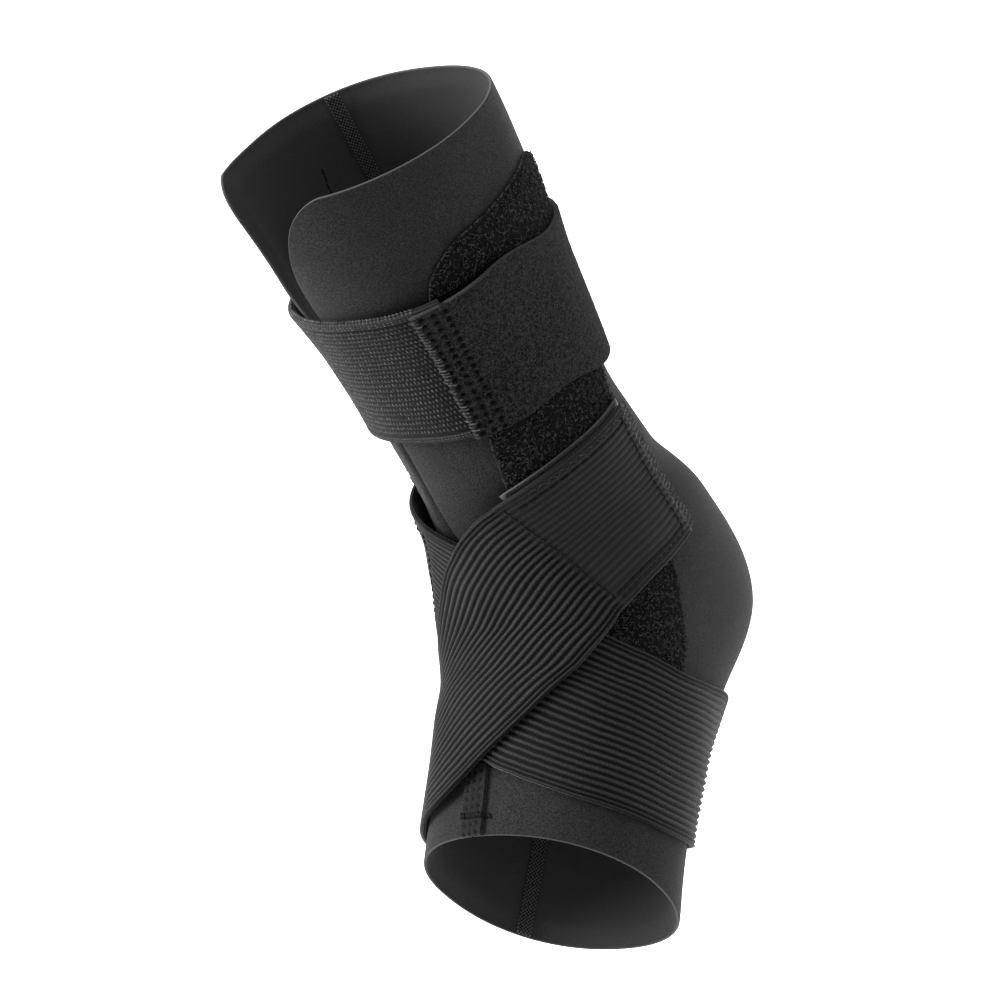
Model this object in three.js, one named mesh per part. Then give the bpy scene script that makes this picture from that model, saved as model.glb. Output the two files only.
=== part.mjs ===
// An ankle brace as it sits on a pointed foot: an open-toed sleeve of two panels, slit down the
// front of the leg, with a loop patch on each side, two wide elastic straps that cross over the
// instep, and a knitted strap round the calf. Millimetres, +Z up along the leg, toes towards -Y,
// and the outer side of the ankle towards +X. The origin is the ankle's centre.
import * as THREE from "three";

// The form that the brace is worn on, which every piece follows
const legLength = 170; // ankle centre to the middle of the top rim
const footLength = 95.5; // ankle centre to the middle of the toe rim
const bendAngle = 62; // how far the foot's axis turns forwards from the leg's, in degrees
const bendRadius = 92; // of the axis, through the ankle
const halfDepth = 43; // front to back, halved
const halfWidth = 40; // side to side, halved
const roundness = 2.15; // exponent of a section's outline: 2 is an ellipse
const topRimTilt = 8; // degrees: the top rim is higher at the front
const topRimRise = 1.7; // how far the whole top rim stands past legLength
const toeRimTilt = 8; // degrees: the toe rim reaches further under the sole
const toeRimTurn = 0; // degrees round from the front, where it reaches least

// The sleeve
const sleeveWall = 2;
const layerGap = 0.65; // between a piece and what it lies on
const seamGap = 0.6; // between the two panels where they meet
const frontSeamTurn = -9; // degrees round the sleeve
const rearSeamTurn = 224;
const outerCornerDrop = 34; // the rounded top corners of the front flaps
const outerCornerTurn = 28;
const innerCornerDrop = 14;
const innerCornerTurn = 12;
const flapFlare = 2; // how far the inner flap's top corner stands out
const seamWidth = 7.5; // the flat seams' stitched bands
const seamThickness = 0.7;

// The straps and patches
const patchThickness = 1.2;
const patchCornerDrop = 15; // the rounded top corners of each patch
const patchCornerTurn = 26;
const innerPatchBack = 14; // degrees: how much further back the inner side's patch starts
const strapWidth = 49; // the two straps that cross over the instep
const strapThickness = 1.6;
const tabLength = 43; // the hook tab under each of their ends
const tabOverhang = 1.2; // how far that tab stands out past the strap's upper edge
const tabThickness = 1;
const calfStrapWidth = 48;
const calfStrapThickness = 2;
const calfTabThickness = 1.6;

// How soon an upper layer climbs over the edge of a lower one
const climbMargin = 5;
const climbLength = 8;

// Facets
const facetTurn = 10.5; // of the panels, in degrees
const panelBands = [
  { upTo: 0.45, step: 0.033 },
  { upTo: 0.8, step: 0.025 },
  { upTo: 1, step: 0.034 },
];
const cornerRows = 5; // at each rounded corner
const patchBodyRows = 19;
const patchColumns = 10;
const strapFacet = 6.2; // along the crossing straps
const calfFacetTurn = 7.5; // along the calf strap, in degrees
const strapColumns = 6; // across each strap
const walkStep = 3; // longest step when walking over the form
const slopeStep = 0.5; // for the form's slopes
const lineSteps = 24; // between two points of a strap's line

// Sections along the path: at is a share of the path from the top rim to the toe rim, and
// front, back and side are shares of halfDepth, halfDepth and halfWidth
const sections = [
  { at: 0.0, front: 1.02, back: 0.9, side: 1.01 },
  { at: 0.12, front: 0.95, back: 0.88, side: 0.96 },
  { at: 0.24, front: 0.81, back: 0.77, side: 0.87 },
  { at: 0.34, front: 0.8, back: 0.69, side: 0.85 },
  { at: 0.43, front: 0.8, back: 0.72, side: 0.81 },
  { at: 0.51, front: 0.81, back: 0.89, side: 0.81 },
  { at: 0.58, front: 0.81, back: 1.38, side: 0.86 },
  { at: 0.67, front: 0.79, back: 1.86, side: 0.88 },
  { at: 0.75, front: 0.84, back: 1.3, side: 0.88 },
  { at: 0.82, front: 0.88, back: 0.95, side: 0.92 },
  { at: 0.91, front: 0.83, back: 0.88, side: 0.95 },
  { at: 1.0, front: 0.76, back: 0.9, side: 0.97 },
];

// The panels' front edges, in degrees from the front seam: the outer flap laps over the inner
// one, which gapes above the calf strap, and they meet edge to edge at the instep
const frontEdges = [
  { at: 0.0, outer: -2, inner: -45 },
  { at: 0.06, outer: -5, inner: -44 },
  { at: 0.13, outer: -10, inner: -41 },
  { at: 0.21, outer: -13, inner: -22 },
  { at: 0.29, outer: -16, inner: 9 },
  { at: 0.42, outer: -16, inner: 9 },
  { at: 0.5, outer: -10, inner: 9 },
  { at: 0.55, outer: -3, inner: 7 },
  { at: 0.575, outer: -1, inner: -4 },
  { at: 0.62, outer: 0, inner: 0 },
  { at: 1.0, outer: 0, inner: 0 },
];
const slitEnd = { tucked: 0.58, level: 0.64 }; // where the inner flap comes up to the outer one
const tuckRun = 10; // degrees over which the inner flap sinks, ending as far before the outer edge
const flare = { from: -95, to: -50, below: 0.11 }; // in degrees, and a share of the path

// The outer side's loop patch: where it starts and ends round the sleeve, in degrees
const patchRows = [
  { at: 0.092, from: 35, to: 134 },
  { at: 0.2, from: 32, to: 131 },
  { at: 0.29, from: 30, to: 117 },
  { at: 0.38, from: 25, to: 104 },
  { at: 0.47, from: 21, to: 100 },
  { at: 0.6, from: 24, to: 96 },
  { at: 0.7, from: 32, to: 96 },
  { at: 0.77, from: 40, to: 90 },
];

// The middle lines of the two crossing straps, from the fastened end to the middle of the sole,
// where the upper one's end is lapped over the lower one's
const upperStrapLine = [
  { at: 0.506, turn: 105 },
  { at: 0.513, turn: 64 },
  { at: 0.55, turn: 31 },
  { at: 0.622, turn: 12 },
  { at: 0.703, turn: -4 },
  { at: 0.786, turn: -21 },
  { at: 0.85, turn: -42 },
  { at: 0.862, turn: -72 },
  { at: 0.858, turn: -104 },
  { at: 0.834, turn: -142 },
  { at: 0.815, turn: -172 },
  { at: 0.814, turn: -194 },
];
const lowerStrapLine = [
  { at: 0.558, turn: -116 },
  { at: 0.563, turn: -82 },
  { at: 0.588, turn: -50 },
  { at: 0.632, turn: -30 },
  { at: 0.694, turn: -14 },
  { at: 0.76, turn: 3 },
  { at: 0.81, turn: 24 },
  { at: 0.838, turn: 52 },
  { at: 0.843, turn: 80 },
  { at: 0.83, turn: 118 },
  { at: 0.816, turn: 150 },
  { at: 0.814, turn: 180 },
];

// The calf strap's middle line, by degrees round the sleeve
const calfStrapLine = [
  { turn: -190, at: 0.29 },
  { turn: -100, at: 0.268 },
  { turn: 0, at: 0.235 },
  { turn: 60, at: 0.235 },
  { turn: 105, at: 0.27 },
  { turn: 170, at: 0.29 },
];

// Where the calf strap's knitted length and its tab start and end, in degrees
const calfKnit = { from: -188, to: 37 };
const calfTab = { from: 25, to: 154 };

const radian = Math.PI / 180;
const bend = bendAngle * radian;
const cornerLength = bendRadius * Math.tan(bend / 2);
const legStraight = legLength - cornerLength;
const arcLength = bendRadius * bend;
const footStraight = footLength - cornerLength;
const pathLength = legStraight + arcLength + footStraight;

// A table's column at a value of its key, on a smooth curve that never overshoots its rows
function read(table, column, value, key = "at") {
  const last = table.length - 1;
  if (value <= table[0][key]) return table[0][column];
  if (value >= table[last][key]) return table[last][column];
  let i = 0;
  while (value > table[i + 1][key]) i++;
  const step = (k) => table[k + 1][key] - table[k][key];
  const slope = (k) => (table[k + 1][column] - table[k][column]) / step(k);
  const tangent = (k) => {
    if (k === 0) return slope(0);
    if (k === last) return slope(last - 1);
    const [before, after] = [slope(k - 1), slope(k)];
    if (before * after <= 0) return 0;
    const [w1, w2] = [2 * step(k) + step(k - 1), step(k) + 2 * step(k - 1)];
    return (w1 + w2) / (w1 / before + w2 / after);
  };
  const h = step(i);
  const t = (value - table[i][key]) / h;
  return (
    (2 * t ** 3 - 3 * t ** 2 + 1) * table[i][column] +
    (t ** 3 - 2 * t ** 2 + t) * h * tangent(i) +
    (3 * t ** 2 - 2 * t ** 3) * table[i + 1][column] +
    (t ** 3 - t ** 2) * h * tangent(i + 1)
  );
}

// Evenly spaced values from one to another, both included
const spread = (from, to, count) =>
  Array.from({ length: count + 1 }, (_, k) => from + ((to - from) * k) / count);

// An angle as the same one between -180 and 180 degrees
const wrapped = (turn) => ((((turn + 180) % 360) + 360) % 360) - 180;

function smoothStep(x) {
  const t = Math.min(1, Math.max(0, x));
  return t * t * (3 - 2 * t);
}

// The form: its axis, its radius and a point on its surface. s is a length along the axis from
// the top rim, and turn is an angle round it in degrees
function radiusAt(s, turn) {
  const at = s / pathLength;
  const [c, w] = [Math.cos(turn * radian), Math.sin(turn * radian)];
  const depth = halfDepth * read(sections, c >= 0 ? "front" : "back", at);
  const width = halfWidth * read(sections, "side", at);
  return (Math.abs(c / depth) ** roundness + Math.abs(w / width) ** roundness) ** (-1 / roundness);
}

function surfaceAt(s, turn) {
  const turned = Math.min(bend, Math.max(0, (s - legStraight) / bendRadius));
  const before = Math.min(0, s - legStraight);
  const after = Math.max(0, s - legStraight - arcLength);
  const front = [-Math.cos(turned), Math.sin(turned)];
  const y = -bendRadius - bendRadius * front[0] - after * Math.sin(turned);
  const z = cornerLength - bendRadius * front[1] - before - after * Math.cos(turned);
  const r = radiusAt(s, turn);
  const c = r * Math.cos(turn * radian);
  return new THREE.Vector3(r * Math.sin(turn * radian), y + c * front[0], z + c * front[1]);
}

// The surface's two directions, per millimetre of s and per degree of turn, and its normal
function frameAt(s, turn) {
  const d = slopeStep;
  const along = surfaceAt(s + d, turn).sub(surfaceAt(s - d, turn)).divideScalar(2 * d);
  const round = surfaceAt(s, turn + d).sub(surfaceAt(s, turn - d)).divideScalar(2 * d);
  const normal = along.clone().cross(round).normalize();
  return { along, round, normal };
}

function raised(s, turn, height) {
  return surfaceAt(s, turn).addScaledVector(frameAt(s, turn).normal, height);
}

// The length s at a share u of the way from the tilted top rim to the tilted toe rim
function lengthAt(u, turn) {
  const tip = (s, tilt, from) =>
    Math.tan(tilt * radian) * radiusAt(s, turn) * Math.cos((turn - from) * radian);
  const top = -topRimRise - tip(0, topRimTilt, 0);
  const toe = pathLength - tip(pathLength, toeRimTilt, toeRimTurn);
  return top + (toe - top) * u;
}

// A closed solid between two heights over a grid of places on the form
function shell(places, low, high) {
  const [rows, columns] = [places.length, places[0].length];
  const points = [];
  for (const height of [low, high])
    for (const row of places)
      for (const place of row)
        points.push(...raised(place.s, place.turn, height(place.s, place.turn)).toArray());
  const faces = [];
  const id = (layer, i, j) => layer * rows * columns + i * columns + j;
  const quad = (a, b, c, d) => faces.push(a, b, c, a, c, d);
  for (let i = 0; i < rows - 1; i++)
    for (let j = 0; j < columns - 1; j++) {
      quad(id(1, i, j), id(1, i + 1, j), id(1, i + 1, j + 1), id(1, i, j + 1));
      quad(id(0, i, j), id(0, i, j + 1), id(0, i + 1, j + 1), id(0, i + 1, j));
    }
  for (let i = 0; i < rows - 1; i++) {
    quad(id(0, i, 0), id(0, i + 1, 0), id(1, i + 1, 0), id(1, i, 0));
    const j = columns - 1;
    quad(id(0, i + 1, j), id(0, i, j), id(1, i, j), id(1, i + 1, j));
  }
  for (let j = 0; j < columns - 1; j++) {
    quad(id(0, 0, j + 1), id(0, 0, j), id(1, 0, j), id(1, 0, j + 1));
    const i = rows - 1;
    quad(id(0, i, j), id(0, i, j + 1), id(1, i, j + 1), id(1, i, j));
  }
  const geometry = new THREE.BufferGeometry();
  geometry.setAttribute("position", new THREE.Float32BufferAttribute(points, 3));
  geometry.setIndex(faces);
  geometry.computeVertexNormals();
  return geometry;
}

// A height function raised by a thickness
const over = (height, thickness) => (s, turn) => height(s, turn) + thickness;

// How many degrees a rounded corner's edge falls back at a length below its top
function cornerFallBack(below, drop, turn) {
  const x = Math.min(1, Math.max(0, below / drop));
  return turn * (1 - Math.sqrt(1 - (1 - x) ** 2));
}

// Lengths below a rounded corner's top that step evenly round it
const cornerLengths = (drop) =>
  spread(0, 90, cornerRows).map((angle) => drop * (1 - Math.cos(angle * radian)));

// Rows of a panel, closer together at the flaps' rounded corners and over the heel
function panelRows() {
  const rows = cornerLengths(outerCornerDrop / pathLength);
  for (const { upTo, step } of panelBands) {
    const start = rows[rows.length - 1];
    rows.push(...spread(start, upTo, Math.round((upTo - start) / step)).slice(1));
  }
  return rows;
}

const turnOf = (length, s, turn) => length / (radiusAt(s, turn) * radian);

const outerFlapTurn = (u) => frontSeamTurn + read(frontEdges, "outer", u);

function outerEdge(u) {
  return outerFlapTurn(u) + cornerFallBack(u * pathLength, outerCornerDrop, outerCornerTurn);
}

function innerEdge(u) {
  const s = u * pathLength;
  const back = cornerFallBack(s, innerCornerDrop, innerCornerTurn) + turnOf(seamGap, s, frontSeamTurn);
  return frontSeamTurn + read(frontEdges, "inner", u) - back;
}

function panelPlaces(startTurn, endTurn) {
  return panelRows().map((u) => {
    const [start, end] = [startTurn(u), endTurn(u)];
    const count = Math.round((endTurn(1) - startTurn(1)) / facetTurn);
    return spread(start, end, count).map((turn) => ({ s: lengthAt(u, turn), turn }));
  });
}

// How far the inner flap's free corner stands out
function flareHeight(s, turn) {
  const near = wrapped(turn);
  const free = 1 - smoothStep(s / pathLength / flare.below);
  const fades = 1 - smoothStep((near - frontSeamTurn) / (flare.to - flare.from));
  return flapFlare * free * fades * smoothStep((near - flare.from) / (flare.to - flare.from));
}

// How far the inner flap lies off the form: it is pushed in where the outer one lies over it
function innerFlapHeight(s, turn) {
  const at = s / pathLength;
  const under = smoothStep((turn - outerFlapTurn(at)) / tuckRun + 2);
  const slit = 1 - smoothStep((at - slitEnd.tucked) / (slitEnd.level - slitEnd.tucked));
  return flareHeight(s, turn) - (sleeveWall + layerGap) * under * slit;
}

function outerPanel() {
  const rear = (u) => rearSeamTurn - turnOf(seamGap, u * pathLength, rearSeamTurn);
  return shell(panelPlaces(outerEdge, rear), () => -sleeveWall, () => 0);
}

function innerPanel() {
  const places = panelPlaces(() => rearSeamTurn - 360, innerEdge);
  return shell(places, (s, turn) => innerFlapHeight(s, turn) - sleeveWall, innerFlapHeight);
}

// How much of an upper layer's climb is done at a distance inside (+) or outside (-) an edge
const climb = (inside) => smoothStep((inside + climbMargin + climbLength) / climbLength);

const mirrored = (turn) => 2 * frontSeamTurn - turn;

// A loop patch's top and bottom, and its two edges at a length between them
const patchTop = patchRows[0].at * pathLength;
const patchBottom = patchRows[patchRows.length - 1].at * pathLength;

function patchEdges(s, mirror) {
  const fallBack = cornerFallBack(s - patchTop, patchCornerDrop, patchCornerTurn);
  const edge = (column, sign) => read(patchRows, column, s / pathLength) + sign * fallBack;
  return { from: edge("from", 1) + (mirror ? innerPatchBack : 0), to: edge("to", -1) };
}

// The distance of a place inside the loop patch of its side
function insidePatch(s, turn) {
  const near = wrapped(turn);
  const mirror = near < frontSeamTurn;
  const own = mirror ? mirrored(near) : near;
  const degree = radiusAt(s, turn) * radian;
  const { from, to } = patchEdges(s, mirror);
  return Math.min((own - from) * degree, (to - own) * degree, s - patchTop, patchBottom - s);
}

function insideFrontSeam(s, turn) {
  const aside = Math.abs(wrapped(turn) - frontSeamTurn) * radiusAt(s, turn) * radian;
  return Math.min(seamWidth / 2 - aside, s - slitEnd.level * pathLength);
}

// The height of the sleeve with its seam and patches, which the straps lie on
function groundHeight(s, turn) {
  const overPatch = climb(insidePatch(s, turn)) * (patchThickness + layerGap);
  const overSeam = climb(insideFrontSeam(s, turn)) * (seamThickness + layerGap);
  return layerGap + flareHeight(s, turn) + overPatch + overSeam;
}

// A line on the form through the points of a table, as places a step apart
function spacedLine(table, step) {
  const keyed = table.map((row, k) => ({ at: k, share: row.at, turn: row.turn }));
  const fine = [];
  for (let k = 0; k <= (table.length - 1) * lineSteps; k++) {
    const s = read(keyed, "share", k / lineSteps) * pathLength;
    const turn = read(keyed, "turn", k / lineSteps);
    fine.push({ s, turn, point: surfaceAt(s, turn) });
  }
  fine[0].run = 0;
  for (let k = 1; k < fine.length; k++)
    fine[k].run = fine[k - 1].run + fine[k].point.distanceTo(fine[k - 1].point);
  const total = fine[fine.length - 1].run;
  const count = Math.round(total / step);
  const line = [];
  for (let n = 0, k = 1; n <= count; n++) {
    const run = (total * n) / count;
    while (k < fine.length - 1 && fine[k].run < run) k++;
    const t = (run - fine[k - 1].run) / (fine[k].run - fine[k - 1].run);
    const s = fine[k - 1].s + (fine[k].s - fine[k - 1].s) * t;
    const turn = fine[k - 1].turn + (fine[k].turn - fine[k - 1].turn) * t;
    line.push({ s, turn, run });
  }
  return line;
}

// The place reached by walking straight over the form from a place, in a direction
function walk(place, direction, distance) {
  let { s, turn } = place;
  const heading = direction.clone();
  const steps = Math.max(1, Math.ceil(Math.abs(distance) / walkStep));
  const stride = distance / steps;
  for (let k = 0; k < steps; k++) {
    const { along, round, normal } = frameAt(s, turn);
    heading.addScaledVector(normal, -heading.dot(normal)).normalize();
    const [aa, ar, rr] = [along.dot(along), along.dot(round), round.dot(round)];
    const [ha, hr] = [heading.dot(along), heading.dot(round)];
    const det = aa * rr - ar * ar;
    s += ((ha * rr - hr * ar) / det) * stride;
    turn += ((hr * aa - ha * ar) / det) * stride;
  }
  return { s, turn };
}

// A strap's places: rows along its middle line, columns across it at distances from the middle
function ribbon(line, across) {
  return line.map((place, i) => {
    const [a, b] = [line[Math.max(0, i - 1)], line[Math.min(line.length - 1, i + 1)]];
    const ahead = surfaceAt(b.s, b.turn).sub(surfaceAt(a.s, a.turn));
    const aside = frameAt(place.s, place.turn).normal.clone().cross(ahead).normalize();
    return across.map((distance) => walk(place, aside, distance));
  });
}

// The distance of a place inside a strap, from its middle line's points
function insideStrap(line, halfWidthOfStrap) {
  const points = line.map((place) => surfaceAt(place.s, place.turn));
  return (s, turn) => {
    const here = surfaceAt(s, turn);
    let nearest = Infinity;
    for (let k = 1; k < points.length; k++) {
      const step = points[k].clone().sub(points[k - 1]);
      const t = here.clone().sub(points[k - 1]).dot(step) / step.lengthSq();
      const foot = points[k - 1].clone().addScaledVector(step, Math.min(1, Math.max(0, t)));
      nearest = Math.min(nearest, foot.distanceTo(here));
    }
    return halfWidthOfStrap - nearest;
  };
}

function insideTab(line) {
  const own = line.filter((place) => place.run <= tabLength);
  return insideStrap(own, strapWidth / 2 + tabOverhang);
}

const upperLine = spacedLine(upperStrapLine, strapFacet);
const lowerLine = spacedLine(lowerStrapLine, strapFacet);
const strapAcross = spread(-strapWidth / 2, strapWidth / 2, strapColumns);

// The stack over the sleeve: the lower strap's tab, the lower strap, the upper strap's tab and
// the upper strap, each over all that lies under it
const lowerCover = insideStrap(lowerLine, strapWidth / 2);
const lowerTabCover = insideTab(lowerLine);
const upperTabCover = insideTab(upperLine);

function lowerStrapHeight(s, turn) {
  const overTab = climb(lowerTabCover(s, turn)) * (tabThickness + layerGap);
  return groundHeight(s, turn) + overTab;
}

function upperTabHeight(s, turn) {
  const overStrap = climb(lowerCover(s, turn)) * (strapThickness + layerGap);
  return lowerStrapHeight(s, turn) + overStrap;
}

function upperStrapHeight(s, turn) {
  const overTab = climb(upperTabCover(s, turn)) * (tabThickness + layerGap);
  return upperTabHeight(s, turn) + overTab;
}

function crossStrap(line, height) {
  return shell(ribbon(line, strapAcross), height, over(height, strapThickness));
}

// The tab stands out past the strap's upper edge, which is on the given side of its line
function hookTab(line, height, upperSide) {
  const across = [...strapAcross];
  if (upperSide > 0) across.push(strapWidth / 2 + tabOverhang);
  else across.unshift(-strapWidth / 2 - tabOverhang);
  const rows = line.filter((place) => place.run <= tabLength).length;
  return shell(ribbon(line, across).slice(0, rows), height, over(height, tabThickness));
}

// The calf strap's places between two turns
function calfPlaces(span) {
  const count = Math.round((span.to - span.from) / calfFacetTurn);
  return spread(span.from, span.to, count).map((turn) => {
    const middle = read(calfStrapLine, "at", turn, "turn") * pathLength;
    const edge = calfStrapWidth / 2;
    return spread(edge, -edge, strapColumns).map((below) => ({ s: middle + below, turn }));
  });
}

const beforeKnitEnd = (s, turn) => (calfKnit.to - turn) * radiusAt(s, turn) * radian;

function calfTabHeight(s, turn) {
  return groundHeight(s, turn) + climb(beforeKnitEnd(s, turn)) * (calfStrapThickness + layerGap);
}

function calfPiece(span, height, thickness) {
  return shell(calfPlaces(span), height, over(height, thickness));
}

// A loop patch: rows down the sleeve, columns from its front edge to its rear edge
function loopPatch(mirror) {
  const lengths = cornerLengths(patchCornerDrop).map((below) => patchTop + below);
  lengths.push(...spread(patchTop + patchCornerDrop, patchBottom, patchBodyRows).slice(1));
  const places = lengths.map((s) => {
    const { from, to } = patchEdges(s, mirror);
    return spread(from, to, patchColumns).map((turn) => ({ s, turn: mirror ? mirrored(turn) : turn }));
  });
  if (mirror) places.forEach((row) => row.reverse());
  const low = mirror ? (s, turn) => layerGap + flareHeight(s, turn) : () => layerGap;
  return shell(places, low, over(low, patchThickness));
}

// A stitched band along a seam, on the outside or the inside of the sleeve
function seamBand(turn, fromShare, low, high) {
  const places = panelRows()
    .filter((u) => u >= fromShare)
    .map((u) => {
      const half = turnOf(seamWidth / 2, u * pathLength, turn);
      return spread(turn - half, turn + half, 2).map((t) => ({ s: lengthAt(u, t), turn: t }));
    });
  return shell(places, () => low, () => high);
}

// Finishes
const neoprene = { color: 0x3a3a3b, roughness: 0.85, metalness: 0 };
const loopPile = { color: 0x121212, roughness: 1, metalness: 0 };
const ribbedElastic = { color: 0x2b2b2c, roughness: 0.75, metalness: 0 };
const knitElastic = { color: 0x333334, roughness: 0.8, metalness: 0 };
const tabFabric = { color: 0x262627, roughness: 0.95, metalness: 0 };
const hookPlastic = { color: 0x1b1b1c, roughness: 0.6, metalness: 0 };
const seamThread = { color: 0x161616, roughness: 0.7, metalness: 0 };

const brace = new THREE.Group();

function add(name, geometry, finish) {
  const mesh = new THREE.Mesh(geometry, new THREE.MeshStandardMaterial(finish));
  mesh.name = name;
  brace.add(mesh);
}

const innerFace = -sleeveWall - layerGap;
add("outer_panel", outerPanel(), neoprene);
add("inner_panel", innerPanel(), neoprene);
const instepBand = seamBand(frontSeamTurn, slitEnd.level, layerGap, layerGap + seamThickness);
const rearBand = seamBand(rearSeamTurn - 360, 0, innerFace - seamThickness, innerFace);
add("instep_seam", instepBand, seamThread);
add("rear_seam", rearBand, seamThread);
add("outer_loop_patch", loopPatch(false), loopPile);
add("inner_loop_patch", loopPatch(true), loopPile);
add("lower_strap_tab", hookTab(lowerLine, groundHeight, 1), hookPlastic);
add("lower_strap", crossStrap(lowerLine, lowerStrapHeight), ribbedElastic);
add("upper_strap_tab", hookTab(upperLine, upperTabHeight, -1), hookPlastic);
add("upper_strap", crossStrap(upperLine, upperStrapHeight), ribbedElastic);
add("calf_strap_knit", calfPiece(calfKnit, groundHeight, calfStrapThickness), knitElastic);
add("calf_strap_tab", calfPiece(calfTab, calfTabHeight, calfTabThickness), tabFabric);

export default brace;
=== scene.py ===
import math

import bpy
import numpy as np
from mathutils import Matrix, Vector


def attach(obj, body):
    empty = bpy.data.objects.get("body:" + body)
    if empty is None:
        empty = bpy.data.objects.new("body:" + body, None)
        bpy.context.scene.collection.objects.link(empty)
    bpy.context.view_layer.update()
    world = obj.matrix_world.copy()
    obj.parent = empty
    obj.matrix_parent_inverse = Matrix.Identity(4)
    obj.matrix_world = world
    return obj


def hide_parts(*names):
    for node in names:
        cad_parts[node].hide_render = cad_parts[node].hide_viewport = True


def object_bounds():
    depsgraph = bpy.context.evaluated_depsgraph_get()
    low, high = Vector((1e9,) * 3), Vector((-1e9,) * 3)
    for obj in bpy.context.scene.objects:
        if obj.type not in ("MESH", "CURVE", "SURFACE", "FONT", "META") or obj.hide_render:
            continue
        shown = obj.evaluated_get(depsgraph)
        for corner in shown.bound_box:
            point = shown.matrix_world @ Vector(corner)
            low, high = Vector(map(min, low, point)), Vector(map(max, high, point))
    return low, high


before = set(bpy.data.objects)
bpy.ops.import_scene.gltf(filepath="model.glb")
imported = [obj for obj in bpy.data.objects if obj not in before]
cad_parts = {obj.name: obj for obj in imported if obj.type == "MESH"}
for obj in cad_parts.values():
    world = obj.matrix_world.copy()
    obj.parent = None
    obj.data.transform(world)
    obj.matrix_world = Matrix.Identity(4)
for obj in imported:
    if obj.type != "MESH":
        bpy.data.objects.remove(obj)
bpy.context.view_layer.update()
mm = 0.001
print("packed model loaded")

# The form that the brace is held in. Lengths are in millimetres and turns in degrees round it:
# 0 is the front, 90 the outer side, 180 the back and -90 the inner side
form = {
    "legLength": 170,  # from the ankle's centre to the top rim
    "footLength": 95.5,  # from the ankle's centre to the toe rim
    "bendAngle": 62,
    "bendRadius": 92,
    "halfDepth": 43,
    "halfWidth": 40,
    "roundness": 2.15,
    "topRimTilt": 8,
    "topRimRise": 1.7,
    "toeRimTilt": 8,
    "toeRimTurn": 0,
    # share of the way from the top rim to the toe rim, then front, back and side
    "sections": [
        (0.0, 1.02, 0.9, 1.01),
        (0.12, 0.95, 0.88, 0.96),
        (0.24, 0.81, 0.77, 0.87),
        (0.34, 0.8, 0.69, 0.85),
        (0.43, 0.8, 0.72, 0.81),
        (0.51, 0.81, 0.89, 0.81),
        (0.58, 0.81, 1.38, 0.86),
        (0.67, 0.79, 1.86, 0.88),
        (0.75, 0.84, 1.3, 0.88),
        (0.82, 0.88, 0.95, 0.92),
        (0.91, 0.83, 0.88, 0.95),
        (1.0, 0.76, 0.9, 0.97),
    ],
    # slow waves of the cloth: height, length along, waves round, start
    "waves": [(0.3, 120, 2, 1.3), (0.22, 63, -3, 0.5), (0.12, 37, 5, 2.0)],
}


def curveThrough(keys, values):
    # a smooth curve through the points that never overshoots them
    keys, values = np.array(keys, float), np.array(values, float)
    gap = np.diff(keys)
    slope = np.diff(values) / gap
    lean = np.concatenate([slope[:1], np.zeros(len(keys) - 2), slope[-1:]])
    for k in range(1, len(keys) - 1):
        if slope[k - 1] * slope[k] > 0:
            a, b = 2 * gap[k] + gap[k - 1], gap[k] + 2 * gap[k - 1]
            lean[k] = (a + b) / (a / slope[k - 1] + b / slope[k])

    def at(x):
        x = np.clip(x, keys[0], keys[-1])
        i = np.clip(np.searchsorted(keys, x, side="right") - 1, 0, len(keys) - 2)
        t = (x - keys[i]) / gap[i]
        return (
            (2 * t**3 - 3 * t**2 + 1) * values[i]
            + (t**3 - 2 * t**2 + t) * gap[i] * lean[i]
            + (3 * t**2 - 2 * t**3) * values[i + 1]
            + (t**3 - t**2) * gap[i] * lean[i + 1]
        )

    return at


def columnsOf(rows):
    return [curveThrough([r[0] for r in rows], [r[k] for r in rows]) for k in range(1, len(rows[0]))]


frontOf, backOf, sideOf = columnsOf(form["sections"])
bend = math.radians(form["bendAngle"])
bendRadius = form["bendRadius"]
cornerLength = bendRadius * math.tan(bend / 2)
legStraight = form["legLength"] - cornerLength
arcLength = bendRadius * bend
pathLength = legStraight + arcLength + form["footLength"] - cornerLength


def smooth(x):
    t = np.clip(x, 0, 1)
    return t * t * (3 - 2 * t)


def wrapped(turn):
    return (np.asarray(turn) + 180) % 360 - 180


def radiusAt(s, turn):
    share = s / pathLength
    c, w = np.cos(np.radians(turn)), np.sin(np.radians(turn))
    depth = form["halfDepth"] * np.where(c >= 0, frontOf(share), backOf(share))
    width = form["halfWidth"] * sideOf(share)
    n = form["roundness"]
    return (np.abs(c / depth) ** n + np.abs(w / width) ** n) ** (-1 / n)


def surfaceAt(s, turn):
    s, turn = np.broadcast_arrays(np.asarray(s, float), np.asarray(turn, float))
    turned = np.clip((s - legStraight) / bendRadius, 0, bend)
    before = np.minimum(0, s - legStraight)
    after = np.maximum(0, s - legStraight - arcLength)
    frontY, frontZ = -np.cos(turned), np.sin(turned)
    y = -bendRadius - bendRadius * frontY - after * np.sin(turned)
    z = cornerLength - bendRadius * frontZ - before - after * np.cos(turned)
    r = radiusAt(s, turn)
    c = r * np.cos(np.radians(turn))
    return np.stack([r * np.sin(np.radians(turn)), y + c * frontY, z + c * frontZ], -1)


def unit(v):
    return v / np.maximum(np.linalg.norm(v, axis=-1, keepdims=True), 1e-12)


def slopesAt(s, turn):
    d = 0.5
    along = (surfaceAt(s + d, turn) - surfaceAt(s - d, turn)) / (2 * d)
    around = (surfaceAt(s, turn + d) - surfaceAt(s, turn - d)) / (2 * d)
    return along, around, unit(np.cross(along, around))


def waveHeight(s, turn):
    return sum(
        height * np.sin(2 * math.pi * s / length + count * np.radians(turn) + start)
        for height, length, count, start in form["waves"]
    )


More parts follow.
